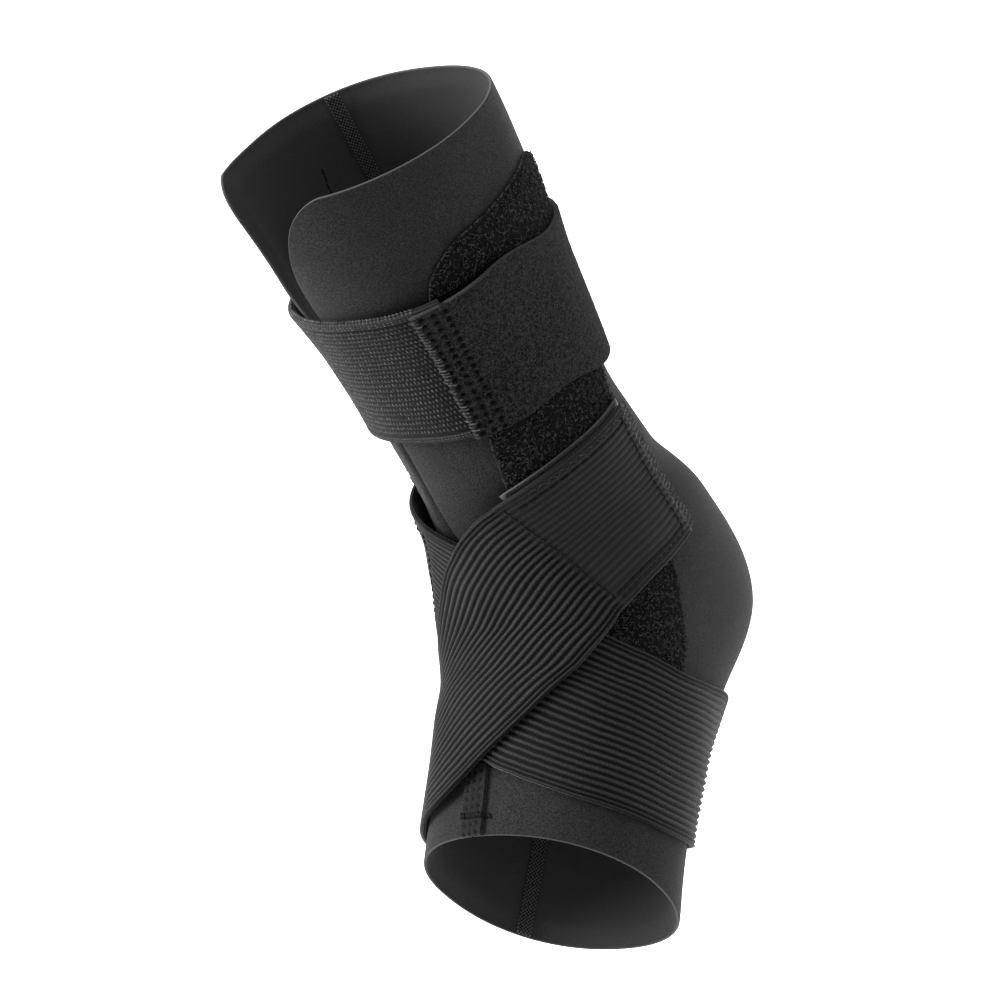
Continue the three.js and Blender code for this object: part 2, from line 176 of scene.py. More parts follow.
def raised(s, turn, height):
    normal = slopesAt(s, turn)[2]
    return surfaceAt(s, turn) + normal * (np.asarray(height) + waveHeight(s, turn))[..., None]


def rimsAt(turn):
    tip = lambda s, tilt, start: math.tan(math.radians(tilt)) * radiusAt(s, turn) * np.cos(
        np.radians(turn - start)
    )
    top = -form["topRimRise"] - tip(0.0, form["topRimTilt"], 0)
    toe = pathLength - tip(pathLength, form["toeRimTilt"], form["toeRimTurn"])
    return top, toe


def lengthAt(u, turn):
    top, toe = rimsAt(turn)
    return top + (toe - top) * u


def degreesFor(length, s, turn):
    return length / (radiusAt(s, turn) * math.pi / 180)


def edged(length, step, rim):
    # places from 0 to length a step apart, with closer ones near both ends for a rounded rim
    near = rim * (1 - np.cos(np.radians([0, 25, 45, 65, 90])))
    middle = np.linspace(rim, length - rim, max(2, int(round((length - 2 * rim) / step)) + 1))
    return np.concatenate([near[:-1], middle, length - near[::-1][1:]])


def rimmed(inside, rim):
    # share of a cloth's half thickness at a distance inside its edge
    x = np.clip(inside / rim, 0, 1)
    return np.sqrt(np.maximum(0, 1 - (1 - x) ** 2))


# Mesh making


def newMesh(name, points, quads, uv, masks, finish):
    mesh = bpy.data.meshes.new(name)
    quads = np.ascontiguousarray(quads, dtype=np.int32)
    mesh.vertices.add(len(points))
    mesh.vertices.foreach_set("co", (points * mm).astype(np.float32).ravel())
    mesh.loops.add(quads.size)
    mesh.loops.foreach_set("vertex_index", quads.ravel())
    mesh.polygons.add(len(quads))
    mesh.polygons.foreach_set("loop_start", np.arange(0, quads.size, 4, dtype=np.int32))
    mesh.polygons.foreach_set("use_smooth", np.ones(len(quads), dtype=bool))
    mesh.update(calc_edges=True)
    layer = mesh.uv_layers.new(name="cloth")
    layer.data.foreach_set("uv", uv[quads.ravel()].astype(np.float32).ravel())
    for key, value in masks.items():
        layer = mesh.attributes.new(key, "FLOAT", "POINT")
        layer.data.foreach_set("value", np.asarray(value, np.float32).ravel())
    mesh.validate()
    piece = bpy.data.objects.new(name, mesh)
    bpy.context.scene.collection.objects.link(piece)
    mesh.materials.append(finish)
    return piece


def newCloth(name, s, turn, low, high, inside, rim, uv, masks, finish):
    # a closed cloth over a grid of places, whose faces meet in a rounded rim
    half = (high - low) / 2 * rimmed(inside, rim)
    middle = (high + low) / 2
    top, bottom = raised(s, turn, middle + half), raised(s, turn, middle - half)
    rows, columns = s.shape
    border = np.zeros((rows, columns), bool)
    border[[0, -1], :] = True
    border[:, [0, -1]] = True
    upper = np.arange(rows * columns).reshape(rows, columns)
    lower = upper.copy()
    lower[~border] = rows * columns + np.arange(int((~border).sum()))
    points = np.concatenate([top.reshape(-1, 3), bottom[~border]])
    around = lambda g: np.stack([g[:-1, :-1], g[1:, :-1], g[1:, 1:], g[:-1, 1:]], -1).reshape(-1, 4)
    i, j = rows // 2, columns // 2
    facing = np.cross(top[i + 1, j] - top[i, j], top[i, j + 1] - top[i, j])
    outward = slopesAt(s[i, j], turn[i, j])[2]
    upperQuads, lowerQuads = around(upper), around(lower)[:, ::-1]
    if facing @ outward < 0:
        upperQuads, lowerQuads = upperQuads[:, ::-1], lowerQuads[:, ::-1]
    inner = ~border.ravel()
    flatten = lambda a: a.reshape(rows * columns, -1)
    both = lambda a: np.concatenate([flatten(a), flatten(a)[inner]])
    stacked = both(np.stack(uv, -1))
    values = {key: both(np.asarray(value, float)) for key, value in masks.items()}
    # marks each cloth's under face; the neoprene look lightens it there as painted light
    values["under"] = (np.arange(len(points)) >= rows * columns).astype(float)
    return newMesh(name, points, np.concatenate([upperQuads, lowerQuads]), stacked, values, finish)


def newThreads(name, paths, normals, radii, sides, finish):
    # many short tubes at once: paths is (tubes, points, 3), radii is (points,) or (tubes, points)
    paths, normals = np.asarray(paths, float), np.asarray(normals, float)
    tubes, count = paths.shape[:2]
    ahead = np.gradient(paths, axis=1)
    aside = unit(np.cross(ahead, np.broadcast_to(normals, paths.shape)))
    above = unit(np.cross(aside, ahead))
    radii = np.broadcast_to(np.asarray(radii, float), (tubes, count))
    angles = np.arange(sides) * 2 * math.pi / sides
    ring = (
        aside[:, :, None] * np.cos(angles)[:, None] + above[:, :, None] * np.sin(angles)[:, None]
    )
    points = (paths[:, :, None] + ring * radii[:, :, None, None]).reshape(-1, 3)
    ids = np.arange(tubes * count * sides).reshape(tubes, count, sides)
    turnedIds = np.roll(ids, -1, axis=2)
    quads = np.stack([ids[:, :-1], turnedIds[:, :-1], turnedIds[:, 1:], ids[:, 1:]], -1)
    along = np.broadcast_to(np.arange(count)[None, :, None], ids.shape)
    uv = np.stack([along, np.broadcast_to(np.arange(sides), ids.shape)], -1).reshape(-1, 2)
    return newMesh(name, points, quads.reshape(-1, 4), uv.astype(float), {}, finish)


def standFor(piece, slotName, *nodes):
    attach(piece, "root")
    if nodes:
        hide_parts(*nodes)


# Materials


def newLook(name, color, roughness, sheen, sheenRoughness):
    look = bpy.data.materials.new(name)
    look.use_nodes = True
    tree = look.node_tree
    tree.nodes.clear()
    out = tree.nodes.new("ShaderNodeOutputMaterial")
    shader = tree.nodes.new("ShaderNodeBsdfPrincipled")
    tree.links.new(shader.outputs["BSDF"], out.inputs["Surface"])
    shader.inputs["Base Color"].default_value = (*color, 1)
    shader.inputs["Roughness"].default_value = roughness
    shader.inputs["Specular IOR Level"].default_value = 0.07
    shader.inputs["Sheen Weight"].default_value = sheen
    shader.inputs["Sheen Roughness"].default_value = sheenRoughness
    return look, tree, shader


def node(tree, kind, settings=None, **inputs):
    made = tree.nodes.new("ShaderNode" + kind)
    for key, value in (settings or {}).items():
        setattr(made, key, value)
    for key, value in inputs.items():
        socket = made.inputs[int(key[1:])] if key[0] == "i" and key[1:].isdigit() else made.inputs[key]
        if isinstance(value, bpy.types.NodeSocket):
            tree.links.new(value, socket)
        else:
            socket.default_value = value
    return made


def calc(tree, operation, a, b):
    return node(tree, "Math", {"operation": operation}, i0=a, i1=b).outputs[0]


def between(tree, share, a, b):
    return node(tree, "Mix", {"data_type": "RGBA"}, i0=share, i6=a, i7=b).outputs[2]


def ranged(tree, value, low, high, toLow=0.0, toHigh=1.0):
    made = node(tree, "MapRange")
    tree.links.new(value, made.inputs["Value"])
    for key, number in zip(["From Min", "From Max", "To Min", "To Max"], [low, high, toLow, toHigh]):
        made.inputs[key].default_value = number
    return made.outputs[0]


def grain(tree, size, detail=3.0, rough=0.6, twist=0.0):
    # noise whose marks are about size millimetres wide; a twist draws them out into worms
    where = node(tree, "TexCoord").outputs["Object"]
    made = node(
        tree, "TexNoise",
        Vector=where, Scale=1 / (size * mm), Detail=detail, Roughness=rough, Distortion=twist,
    )
    return made.outputs["Fac"]


def clothVector(tree, alongPitch, acrossPitch):
    # cloth coordinates counted in threads, from the millimetres of the map
    where = node(tree, "UVMap", {"uv_map": "cloth"}).outputs[0]
    made = node(tree, "Mapping", Vector=where)
    made.inputs["Scale"].default_value = (1 / alongPitch, 1 / acrossPitch, 1)
    return made.outputs[0]


def bumped(tree, shader, height, strength, distance):
    made = node(tree, "Bump", Height=height, Strength=strength, Distance=distance * mm)
    tree.links.new(made.outputs[0], shader.inputs["Normal"])


def grey(value, warm=0.0):
    return (value * (1 + warm), value, value * (1 - warm), 1)


def mask(tree, name):
    return node(tree, "Attribute", {"attribute_name": name}).outputs["Fac"]


def makeNeoprene():
    look, tree, shader = newLook("neoprene", (0.02, 0.02, 0.0202), 0.85, 0.06, 0.35)
    fine = grain(tree, 0.42, 2.0, 0.75)
    cloudy = grain(tree, 9.0, 4.0, 0.55)
    body = between(tree, ranged(tree, fine, 0.38, 0.64), grey(0.0038), grey(0.0195))
    body = between(tree, ranged(tree, cloudy, 0.35, 0.65, 0.0, 0.35), body, grey(0.0068))
    # painted light: the cloth's under face is made lighter, standing in for light reaching the inside of
    # the sleeve
    body = between(tree, calc(tree, "MULTIPLY", mask(tree, "under"), 0.7), body, grey(0.024))
    # painted highlight: a thin light line along the cut rims
    body = between(tree, calc(tree, "MULTIPLY", mask(tree, "rim"), 0.75), body, grey(0.053))
    tree.links.new(body, shader.inputs["Base Color"])
    tree.links.new(ranged(tree, fine, 0.3, 0.7, 0.92, 0.75), shader.inputs["Roughness"])
    bumped(tree, shader, fine, 0.5, 0.25)
    return look


def makeRibbedElastic():
    look, tree, shader = newLook("ribbedElastic", (0.02, 0.02, 0.0202), 0.7, 0.12, 0.35)
    threads = clothVector(tree, 0.62, 2.0)
    cross = node(
        tree, "TexWave", {"wave_type": "BANDS", "bands_direction": "X", "wave_profile": "SIN"},
        Vector=threads, Scale=0.314, Distortion=1.2, Detail=2.0,
    ).outputs["Fac"]
    fine = grain(tree, 0.4, 2.0, 0.7)
    rough = calc(tree, "ADD", calc(tree, "MULTIPLY", cross, 0.15), calc(tree, "MULTIPLY", fine, 1.0))
    worn = grain(tree, 14.0, 3.0, 0.5)
    body = between(tree, ranged(tree, rough, 0.4, 0.75), grey(0.0066), grey(0.03))
    body = between(tree, ranged(tree, worn, 0.4, 0.7, 0.0, 0.3), body, grey(0.0081))
    # painted shade: the grooves between the ribs are darkened
    body = between(tree, mask(tree, "paintedGrooveShade"), body, grey(0.00074))
    body = between(tree, mask(tree, "pressed"), body, grey(0.0074))
    tree.links.new(body, shader.inputs["Base Color"])
    tree.links.new(ranged(tree, fine, 0.3, 0.7, 0.62, 0.82), shader.inputs["Roughness"])
    bumped(tree, shader, rough, 0.45, 0.22)
    return look


def makeLoopPile():
    look, tree, shader = newLook("loopPile", (0.005, 0.005, 0.005), 0.95, 0.02, 0.4)
    clump = grain(tree, 1.1, 3.0, 0.7)
    body = between(tree, ranged(tree, clump, 0.38, 0.62), grey(0.0004), grey(0.003))
    dots = ranged(tree, grain(tree, 0.8, 1.0, 0.5), 0.45, 0.58)
    # painted highlight: light specks along the patch's rolled edge
    body = between(tree, calc(tree, "MULTIPLY", mask(tree, "rim"), dots), body, grey(0.06))
    tree.links.new(body, shader.inputs["Base Color"])
    bumped(tree, shader, clump, 0.9, 0.5)
    return look


def makeCurlThread():
    look, tree, shader = newLook("curlThread", (0.008, 0.008, 0.0081), 0.8, 0.03, 0.4)
    tone = grain(tree, 1.4, 2.0, 0.6)
    body = between(tree, ranged(tree, tone, 0.35, 0.65), grey(0.0006), grey(0.034))
    tree.links.new(body, shader.inputs["Base Color"])
    bumped(tree, shader, grain(tree, 0.12, 1.0, 0.5), 0.3, 0.05)
    return look


def makeKnitBase():
    look, tree, shader = newLook("knitBase", (0.005, 0.005, 0.005), 0.85, 0.08, 0.4)
    fine = grain(tree, 0.4, 2.0, 0.7)
    body = between(tree, ranged(tree, fine, 0.35, 0.65), grey(0.0012), grey(0.0056))
    # painted highlight: the crests of the edge ribs are lighter
    body = between(tree, mask(tree, "rim"), body, grey(0.037))
    tree.links.new(body, shader.inputs["Base Color"])
    bumped(tree, shader, fine, 0.6, 0.25)
    return look


def makeKnitThread():
    look, tree, shader = newLook("knitThread", (0.07, 0.07, 0.072), 0.65, 0.03, 0.4)
    tone = grain(tree, 1.3, 2.0, 0.6)
    body = between(tree, ranged(tree, tone, 0.3, 0.7), grey(0.007), grey(0.07))
    tree.links.new(body, shader.inputs["Base Color"])
    bumped(tree, shader, grain(tree, 0.15, 1.0, 0.5), 0.4, 0.06)
    return look


def makeTabFabric():
    look, tree, shader = newLook("tabFabric", (0.014, 0.014, 0.0141), 0.9, 0.02, 0.35)
    clump = grain(tree, 0.8, 2.0, 0.7, 1.6)
    ribs = clothVector(tree, 1.4, 1.4)
    lines = node(
        tree, "TexWave", {"wave_type": "BANDS", "bands_direction": "Y", "wave_profile": "SIN"},
        Vector=ribs, Scale=0.314, Distortion=2.5, Detail=3.0,
    ).outputs["Fac"]
    body = between(tree, ranged(tree, clump, 0.44, 0.6), grey(0.0004), grey(0.019))
    body = between(tree, ranged(tree, lines, 0.0, 1.0, 0.0, 0.1), body, grey(0.003))
    # painted highlight: light lines along the tab's edges and at its joint with the knit
    body = between(tree, mask(tree, "rim"), body, grey(0.034))
    body = between(tree, mask(tree, "hole"), body, grey(0.0005))
    tree.links.new(body, shader.inputs["Base Color"])
    bumped(tree, shader, calc(tree, "ADD", clump, calc(tree, "MULTIPLY", lines, 0.08)), 0.9, 0.5)
    return look


def makeThread(name, dark, light, sheen):
    look, tree, shader = newLook(name, (light, light, light), 0.6, sheen, 0.4)
    tone = grain(tree, 1.0, 2.0, 0.6)
    body = between(tree, ranged(tree, tone, 0.3, 0.7), grey(dark), grey(light))
    tree.links.new(body, shader.inputs["Base Color"])
    bumped(tree, shader, grain(tree, 0.14, 1.0, 0.5), 0.4, 0.06)
    return look


def makeSeamFleece():
    look, tree, shader = newLook("seamFleece", (0.008, 0.008, 0.0081), 0.85, 0.1, 0.4)
    loops = grain(tree, 0.7, 3.0, 0.7)
    body = between(tree, ranged(tree, loops, 0.36, 0.64), grey(0.0019), grey(0.0081))
    body = between(tree, mask(tree, "hole"), body, grey(0.00037))
    tree.links.new(body, shader.inputs["Base Color"])
    bumped(tree, shader, loops, 0.7, 0.35)
    return look


def makeSeamTape():
    look, tree, shader = newLook("seamTape", (0.008, 0.008, 0.0081), 0.7, 0.08, 0.4)
    weave = clothVector(tree, 0.6, 0.6)
    checks = node(tree, "TexChecker", Vector=weave, Scale=1.0, Color1=grey(0.001), Color2=grey(0.045))
    body = between(tree, mask(tree, "hole"), checks.outputs["Color"], grey(0.0005))
    tree.links.new(body, shader.inputs["Base Color"])
    bumped(tree, shader, grain(tree, 0.5, 2.0, 0.6), 0.6, 0.25)
    return look


def makeHookPlastic():
    look, tree, shader = newLook("hookPlastic", (0.02, 0.02, 0.0202), 0.5, 0.0, 0.4)
    hooks = grain(tree, 0.6, 1.0, 0.5)
    body = between(tree, ranged(tree, hooks, 0.35, 0.65), grey(0.006), grey(0.018))
    # painted highlight: a light line along the tab's edge
    body = between(tree, mask(tree, "rim"), body, grey(0.045))
    tree.links.new(body, shader.inputs["Base Color"])
    bumped(tree, shader, hooks, 0.5, 0.2)
    return look


looks = {
    "neoprene": makeNeoprene(),
    "ribbedElastic": makeRibbedElastic(),
    "loopPile": makeLoopPile(),
    "curlThread": makeCurlThread(),
    "knitBase": makeKnitBase(),
    "knitThread": makeKnitThread(),
    "tabFabric": makeTabFabric(),
    "darkThread": makeThread("darkThread", 0.0008, 0.0035, 0.02),
    "edgeThread": makeThread("edgeThread", 0.004, 0.085, 0.06),
    "greyThread": makeThread("greyThread", 0.008, 0.035, 0.05),
    "seamFleece": makeSeamFleece(),
    "seamTape": makeSeamTape(),
    "hookPlastic": makeHookPlastic(),
}
print("fabric looks made:", len(looks))

# The sleeve: two neoprene panels
sleeve = {
    "wall": 2.0,
    "gap": 0.65,  # between two layers of the brace
    "seamGap": 0.6,
    "frontSeam": -9,
    "rearSeam": 224,
    "outerCorner": (34, 28),  # the flap's rounded corner: millimetres down, degrees round
    "innerCorner": (14, 12),
    "flare": 2.0,
    "flareFrom": -95,
    "flareTo": -50,
    "flareBelow": 0.11,
    "tuckRun": 4,
    "tuckStart": 1.1,
    "slitTucked": 0.58,
    "slitLevel": 0.64,
    # share of the path, outer flap's edge, inner flap's edge, in degrees from the front seam
    "edges": [
        (0.0, -2, -45), (0.06, -5, -44), (0.13, -10, -41), (0.21, -13, -22), (0.29, -16, 9),
        (0.42, -16, 9), (0.5, -10, 9), (0.55, -3, 7), (0.575, -1, -4), (0.62, 0, 0), (1.0, 0, 0),
    ],
    "step": 1.4,
    "rim": 0.45,
    "rimWall": 0.95,  # the wall thins to this at its free edges
    "rimTaper": 7.0,
}
outerEdgeOf, innerEdgeOf = columnsOf(sleeve["edges"])
gap = sleeve["gap"]


def fallBack(below, drop, turn):
    x = np.clip(below / drop, 0, 1)
    return turn * (1 - np.sqrt(1 - (1 - x) ** 2))


def outerEdge(u):
    return sleeve["frontSeam"] + outerEdgeOf(u) + fallBack(u * pathLength, *sleeve["outerCorner"])


def innerEdge(u):
    s = u * pathLength
    back = fallBack(s, *sleeve["innerCorner"]) + degreesFor(sleeve["seamGap"], s, sleeve["frontSeam"])
    return sleeve["frontSeam"] + innerEdgeOf(u) - back


def flareHeight(s, turn):
    near = wrapped(turn)
    free = 1 - smooth(s / pathLength / sleeve["flareBelow"])
    run = sleeve["flareTo"] - sleeve["flareFrom"]
    fades = 1 - smooth((near - sleeve["frontSeam"]) / run)
    return sleeve["flare"] * free * fades * smooth((near - sleeve["flareFrom"]) / run)


def innerFlapHeight(s, turn):
    at = s / pathLength
    edge = sleeve["frontSeam"] + outerEdgeOf(at)
    under = smooth((turn - edge) / sleeve["tuckRun"] + sleeve["tuckStart"])
    slit = 1 - smooth((at - sleeve["slitTucked"]) / (sleeve["slitLevel"] - sleeve["slitTucked"]))
    return flareHeight(s, turn) - (sleeve["wall"] + gap) * under * slit


def panelRows():
    drop = sleeve["outerCorner"][0]
    corner = drop * (1 - np.cos(np.radians(np.arange(0, 90, 3))))
    rest = np.arange(drop, pathLength - sleeve["rim"], sleeve["step"])
    end = pathLength - sleeve["rim"] * (1 - np.cos(np.radians([90, 65, 45, 25, 0])))
    return np.concatenate([corner, rest, end]) / pathLength


def panelCloth(name, startOf, endOf, height, width, flapFirst):
    u = panelRows()[:, None]
    start, end = startOf(u), endOf(u)
    across = edged(width, sleeve["step"], sleeve["rim"])[None, :]
    turn = start + (end - start) * across / width
    s = lengthAt(u, turn)
    degree = radiusAt(s, turn) * math.pi / 180
    top, toe = rimsAt(turn)
    fromFlap = (turn - start if flapFirst else end - turn) * degree
    inside = np.minimum.reduce([fromFlap, s - top, toe - s])
    sewn = 1000 * smooth((u - sleeve["slitTucked"]) / 0.1)
    fromFree = np.minimum.reduce([fromFlap + sewn, s - top, toe - s])
    thick = sleeve["rimWall"] + (wall - sleeve["rimWall"]) * smooth(fromFree / sleeve["rimTaper"])
    # where the neoprene look paints its highlight along the rims
    masks = {"rim": 1 - smooth(inside / 0.4)}
    face = height(s, turn)
    return newCloth(
        name, s, turn, face - thick, face, inside, sleeve["rim"], (s, turn * 0.6), masks, looks["neoprene"]
    )


wall = sleeve["wall"]
rearOf = lambda u: np.full_like(u, sleeve["rearSeam"])
rearStart = lambda u: np.full_like(u, sleeve["rearSeam"] - 360.0)
outerPanel = panelCloth("outerPanel", outerEdge, rearOf, lambda s, turn: s * 0, 143, True)
innerPanel = panelCloth("innerPanel", rearStart, innerEdge, innerFlapHeight, 79, False)
standFor(outerPanel, "neoprene", "outer_panel")
standFor(innerPanel, "neoprene", "inner_panel")
print("sleeve panels made")

# Climbing over what lies underneath
layering = {
    "margin": 1.6,
    "length": 6.0,
    "cell": 2.0,  # of the grid on which a strap's stiffness is worked out
    "reach": 4,  # cells that a strap stays up past the edge of what lifts it
    "passes": 26,  # of averaging with the neighbouring cells
}


def climb(inside):
    return smooth((inside + layering["margin"] + layering["length"]) / layering["length"])


def sampled(grid, i, j):
    # the value between the grid's rows i and columns j
    i = np.clip(i, 0, grid.shape[0] - 1.001)
    j = np.clip(j, 0, grid.shape[1] - 1.001)
    a, b = i.astype(int), j.astype(int)
    f, g = i - a, j - b
    near = grid[a, b] * (1 - f) + grid[a + 1, b] * f
    far = grid[a, b + 1] * (1 - f) + grid[a + 1, b + 1] * f
    return near * (1 - g) + far * g


def laidOver(height, places, length, halfWidth):
    # how high a strap lies: it is too stiff to follow the steps below it, and bridges them
    cell = layering["cell"]
    run = np.arange(0, length + cell, cell)
    v = np.arange(-halfWidth, halfWidth + cell / 2, cell)
    across, along = np.meshgrid(v, run)
    low = height(*places(along, across))
    for _ in range(layering["reach"]):
        wide = np.pad(low, 1, mode="edge")
        around = [wide[:-2, 1:-1], wide[2:, 1:-1], wide[1:-1, :-2], wide[1:-1, 2:]]
        low = np.maximum.reduce([low, *around])
    for _ in range(layering["passes"]):
        wide = np.pad(low, 1, mode="edge")
        low = (wide[:-2] + 2 * wide[1:-1] + wide[2:])[:, 1:-1] / 4
        wide = np.pad(low, 1, mode="edge")
        low = (wide[:, :-2] + 2 * wide[:, 1:-1] + wide[:, 2:])[1:-1] / 4
    return lambda r, a: sampled(low, r / cell, (a - v[0]) / cell)


# Loop patches on both sides
patch = {
    "thickness": 1.2,
    "outerFlat": (0.062, 0.18),  # metres, as cut
    "innerFlat": (0.048, 0.18),
    "cornerDrop": 15,
    "cornerTurn": 26,
    "innerBack": 20,  # how much further back the inner side's patch starts
    "step": 0.9,
    "rim": 0.6,
    "hem": 1.8,
    "columnsOver": 55,  # the width on which the patch's columns are spaced
    "curlTries": 15750,  # places tried, of which those on the open patch are kept
    "curlTurns": (20, 134),
    "curlsKept": 4400,
    "curlWidth": 1.3,
    "curlHeight": 0.75,
    "curlThread": 0.15,
    # share of the path, front edge, rear edge in degrees
    "rows": [
        (0.092, 35, 134), (0.2, 32, 131), (0.29, 30, 117), (0.38, 25, 104),
        (0.47, 21, 100), (0.6, 24, 96), (0.7, 32, 96), (0.77, 40, 90),
    ],
}
patchFrontOf, patchRearOf = columnsOf(patch["rows"])
patchTop, patchBottom = patch["rows"][0][0] * pathLength, patch["rows"][-1][0] * pathLength


def mirroredTurn(turn):
    return 2 * sleeve["frontSeam"] - turn


def patchEdges(s, mirror):
    back = fallBack(s - patchTop, patch["cornerDrop"], patch["cornerTurn"])
    front = patchFrontOf(s / pathLength) + back + patch["innerBack"] * mirror
    return front, patchRearOf(s / pathLength) - back


def insidePatch(s, turn):
    near = wrapped(turn)
    mirror = near < sleeve["frontSeam"]
    own = np.where(mirror, mirroredTurn(near), near)
    degree = radiusAt(s, turn) * math.pi / 180
    front, rear = patchEdges(s, mirror)
    return np.minimum.reduce([(own - front) * degree, (rear - own) * degree, s - patchTop, patchBottom - s])


seam = {"width": 7.5, "thickness": 0.7}


def insideFrontSeam(s, turn):
    aside = np.abs(wrapped(turn) - sleeve["frontSeam"]) * radiusAt(s, turn) * math.pi / 180
    return np.minimum(seam["width"] / 2 - aside, s - sleeve["slitLevel"] * pathLength)


def groundHeight(s, turn):
    overPatch = climb(insidePatch(s, turn)) * (patch["thickness"] + gap)
    overSeam = climb(insideFrontSeam(s, turn)) * (seam["thickness"] + gap)
    return gap + flareHeight(s, turn) + overPatch + overSeam


# The straps' lines and stack
straps = {
    "width": 49,
    "thickness": 1.6,
    "tabLength": 43,
    "lowerTabLength": 30,  # shorter, so that it stays out of the photograph's view
    "tabOverhang": 1.2,
    "cutBack": 4.5,  # of the upper strap's end at its upper corner
    "tabThickness": 1.0,
    "step": 2.0,
    "facet": 6.2,  # the length over which a line's direction is taken
    "reach": 27.0,  # to both sides of a line
    # share of the path and turn, from the fastened end to the sole
    "upperLine": [
        (0.506, 105), (0.513, 64), (0.55, 31), (0.622, 12), (0.703, -4), (0.786, -21),
        (0.85, -42), (0.862, -72), (0.858, -104), (0.834, -142), (0.815, -172), (0.814, -194),
    ],
    "lowerLine": [
        (0.558, -116), (0.563, -82), (0.588, -50), (0.632, -30), (0.694, -14), (0.76, 3),
        (0.81, 24), (0.838, 52), (0.843, 80), (0.83, 118), (0.816, 150), (0.814, 180),
    ],
}


def spacedLine(points, step):
    steps = np.arange(len(points))
    share = curveThrough(steps, [p[0] for p in points])
    turns = curveThrough(steps, [p[1] for p in points])
    fine = np.linspace(0, len(points) - 1, (len(points) - 1) * 24 + 1)
    s, turn = share(fine) * pathLength, turns(fine)
    run = np.concatenate([[0], np.cumsum(np.linalg.norm(np.diff(surfaceAt(s, turn), axis=0), axis=1))])
    at = np.linspace(0, run[-1], int(round(run[-1] / step)) + 1)
    return np.interp(at, run, s), np.interp(at, run, turn), at


def walked(s, turn, heading, distance):
    along, around, normal = slopesAt(s, turn)
    heading = unit(heading - (heading * normal).sum(-1, keepdims=True) * normal)
    aa, ar, rr = (along * along).sum(-1), (along * around).sum(-1), (around * around).sum(-1)
    ha, hr = (heading * along).sum(-1), (heading * around).sum(-1)
    det = aa * rr - ar * ar
    return s + (ha * rr - hr * ar) / det * distance, turn + (hr * aa - ha * ar) / det * distance, heading


def ribbonPlaces(line, across):
    # places over the form at distances from a middle line
    s, turn, run = line
    points = surfaceAt(s, turn)
    apart = max(1, int(round(straps["facet"] / (run[1] - run[0]))))
    index = np.arange(len(s))
    ahead = points[np.minimum(index + apart, len(s) - 1)] - points[np.maximum(index - apart, 0)]
    aside = unit(np.cross(slopesAt(s, turn)[2], ahead))
    stride = 1.0
    count = int(math.ceil(straps["reach"] / stride))
    stations = {0: (s, turn)}
    for sign in (1, -1):
        a, b, heading = s, turn, aside * sign
        for k in range(1, count + 1):
            a, b, heading = walked(a, b, heading, stride)
            stations[sign * k] = (a, b)
    keys = np.arange(-count, count + 1)
    allS = np.stack([stations[k][0] for k in keys], 1)
    allTurn = np.stack([stations[k][1] for k in keys], 1)
    at = np.clip((across / stride) + count, 0, 2 * count - 1e-6)
    i = at.astype(int)
    t = at - i
    pick = lambda a: a[:, i] * (1 - t) + a[:, i + 1] * t
    return pick(allS), pick(allTurn)


def placedOn(line, run, across):
    # places over the form at distances along and across a strap's middle line
    v = np.arange(-straps["reach"], straps["reach"] + 0.5, 1.0)
    s, turn = ribbonPlaces(line, v)
    i = np.interp(run, line[2], np.arange(len(line[2])))
    j = np.interp(across, v, np.arange(len(v)))
    return sampled(s, i, j), sampled(turn, i, j)


def slanted(run, across, cutBack):
    # the fastened end is cut slightly askew: its upper corner lies further back
    fading = np.clip(1 - run / straps["tabLength"], 0, 1)
    return run + cutBack * (0.5 - across / straps["width"]) * fading


def insideStrip(line, halfWidth):
    points = surfaceAt(line[0], line[1])
    start, step = points[:-1], np.diff(points, axis=0)
    long = (step**2).sum(1)

    def inside(s, turn):
        here = surfaceAt(s, turn).reshape(-1, 3)
        nearest = np.full(len(here), np.inf)
        for a, d, l in zip(start, step, long):
            t = np.clip(((here - a) @ d) / l, 0, 1)
            nearest = np.minimum(nearest, np.linalg.norm(here - a - t[:, None] * d, axis=1))
        return (halfWidth - nearest).reshape(np.shape(s))

    return inside


def cut(line, upTo):
    keep = line[2] <= upTo
    return tuple(part[keep] for part in line)


coarseUpper = spacedLine(straps["upperLine"], straps["facet"])
coarseLower = spacedLine(straps["lowerLine"], straps["facet"])
halfStrap = straps["width"] / 2
upperCover, lowerCover = insideStrip(coarseUpper, halfStrap), insideStrip(coarseLower, halfStrap)
halfTab = halfStrap + straps["tabOverhang"]
lowerTabCover = insideStrip(cut(coarseLower, straps["lowerTabLength"]), halfTab)
upperTabCover = insideStrip(cut(coarseUpper, straps["tabLength"]), halfTab)


def lowerHeight(s, turn):
    return groundHeight(s, turn) + climb(lowerTabCover(s, turn)) * (straps["tabThickness"] + gap)


def upperTabHeight(s, turn):
    return lowerHeight(s, turn) + climb(lowerCover(s, turn)) * (straps["thickness"] + gap)


def upperHeight(s, turn):
    return upperTabHeight(s, turn) + climb(upperTabCover(s, turn)) * (straps["tabThickness"] + gap)


# Ribbed elastic straps
ribs = {
    "count": 21,
    "edge": 2.5,  # the finer edge on each side
    "edgeRibs": 2,
    "depth": 0.7,
    "pressedEnd": 42,  # how far the stitched end goes
    "pressedDepth": 0.35,
    "hem": 5.5,
    "overhang": 1.4,  # of the overlock stitches past the end of the elastic
    "thread": 0.15,
    "lineThread": 0.24,
    "overlockThread": 0.36,
    "overlockPitch": 1.7,
    "stitch": 2.1,
    "stitchPitch": 2.7,
    "zigzag": 2.4,
}


def ribColumns():
    body = straps["width"] - 2 * ribs["edge"]
    pitch = body / ribs["count"]
    share = np.array([0, 0.07, 0.18, 0.33, 0.5, 0.67, 0.82, 0.93])
    middle = (np.arange(ribs["count"])[:, None] + share).ravel() * pitch - body / 2
    thin = ribs["edge"] / ribs["edgeRibs"]
    side = (np.arange(ribs["edgeRibs"])[:, None] + share[::2]).ravel() * thin
    return np.concatenate([side - halfStrap, middle, body / 2 + side, [halfStrap]])


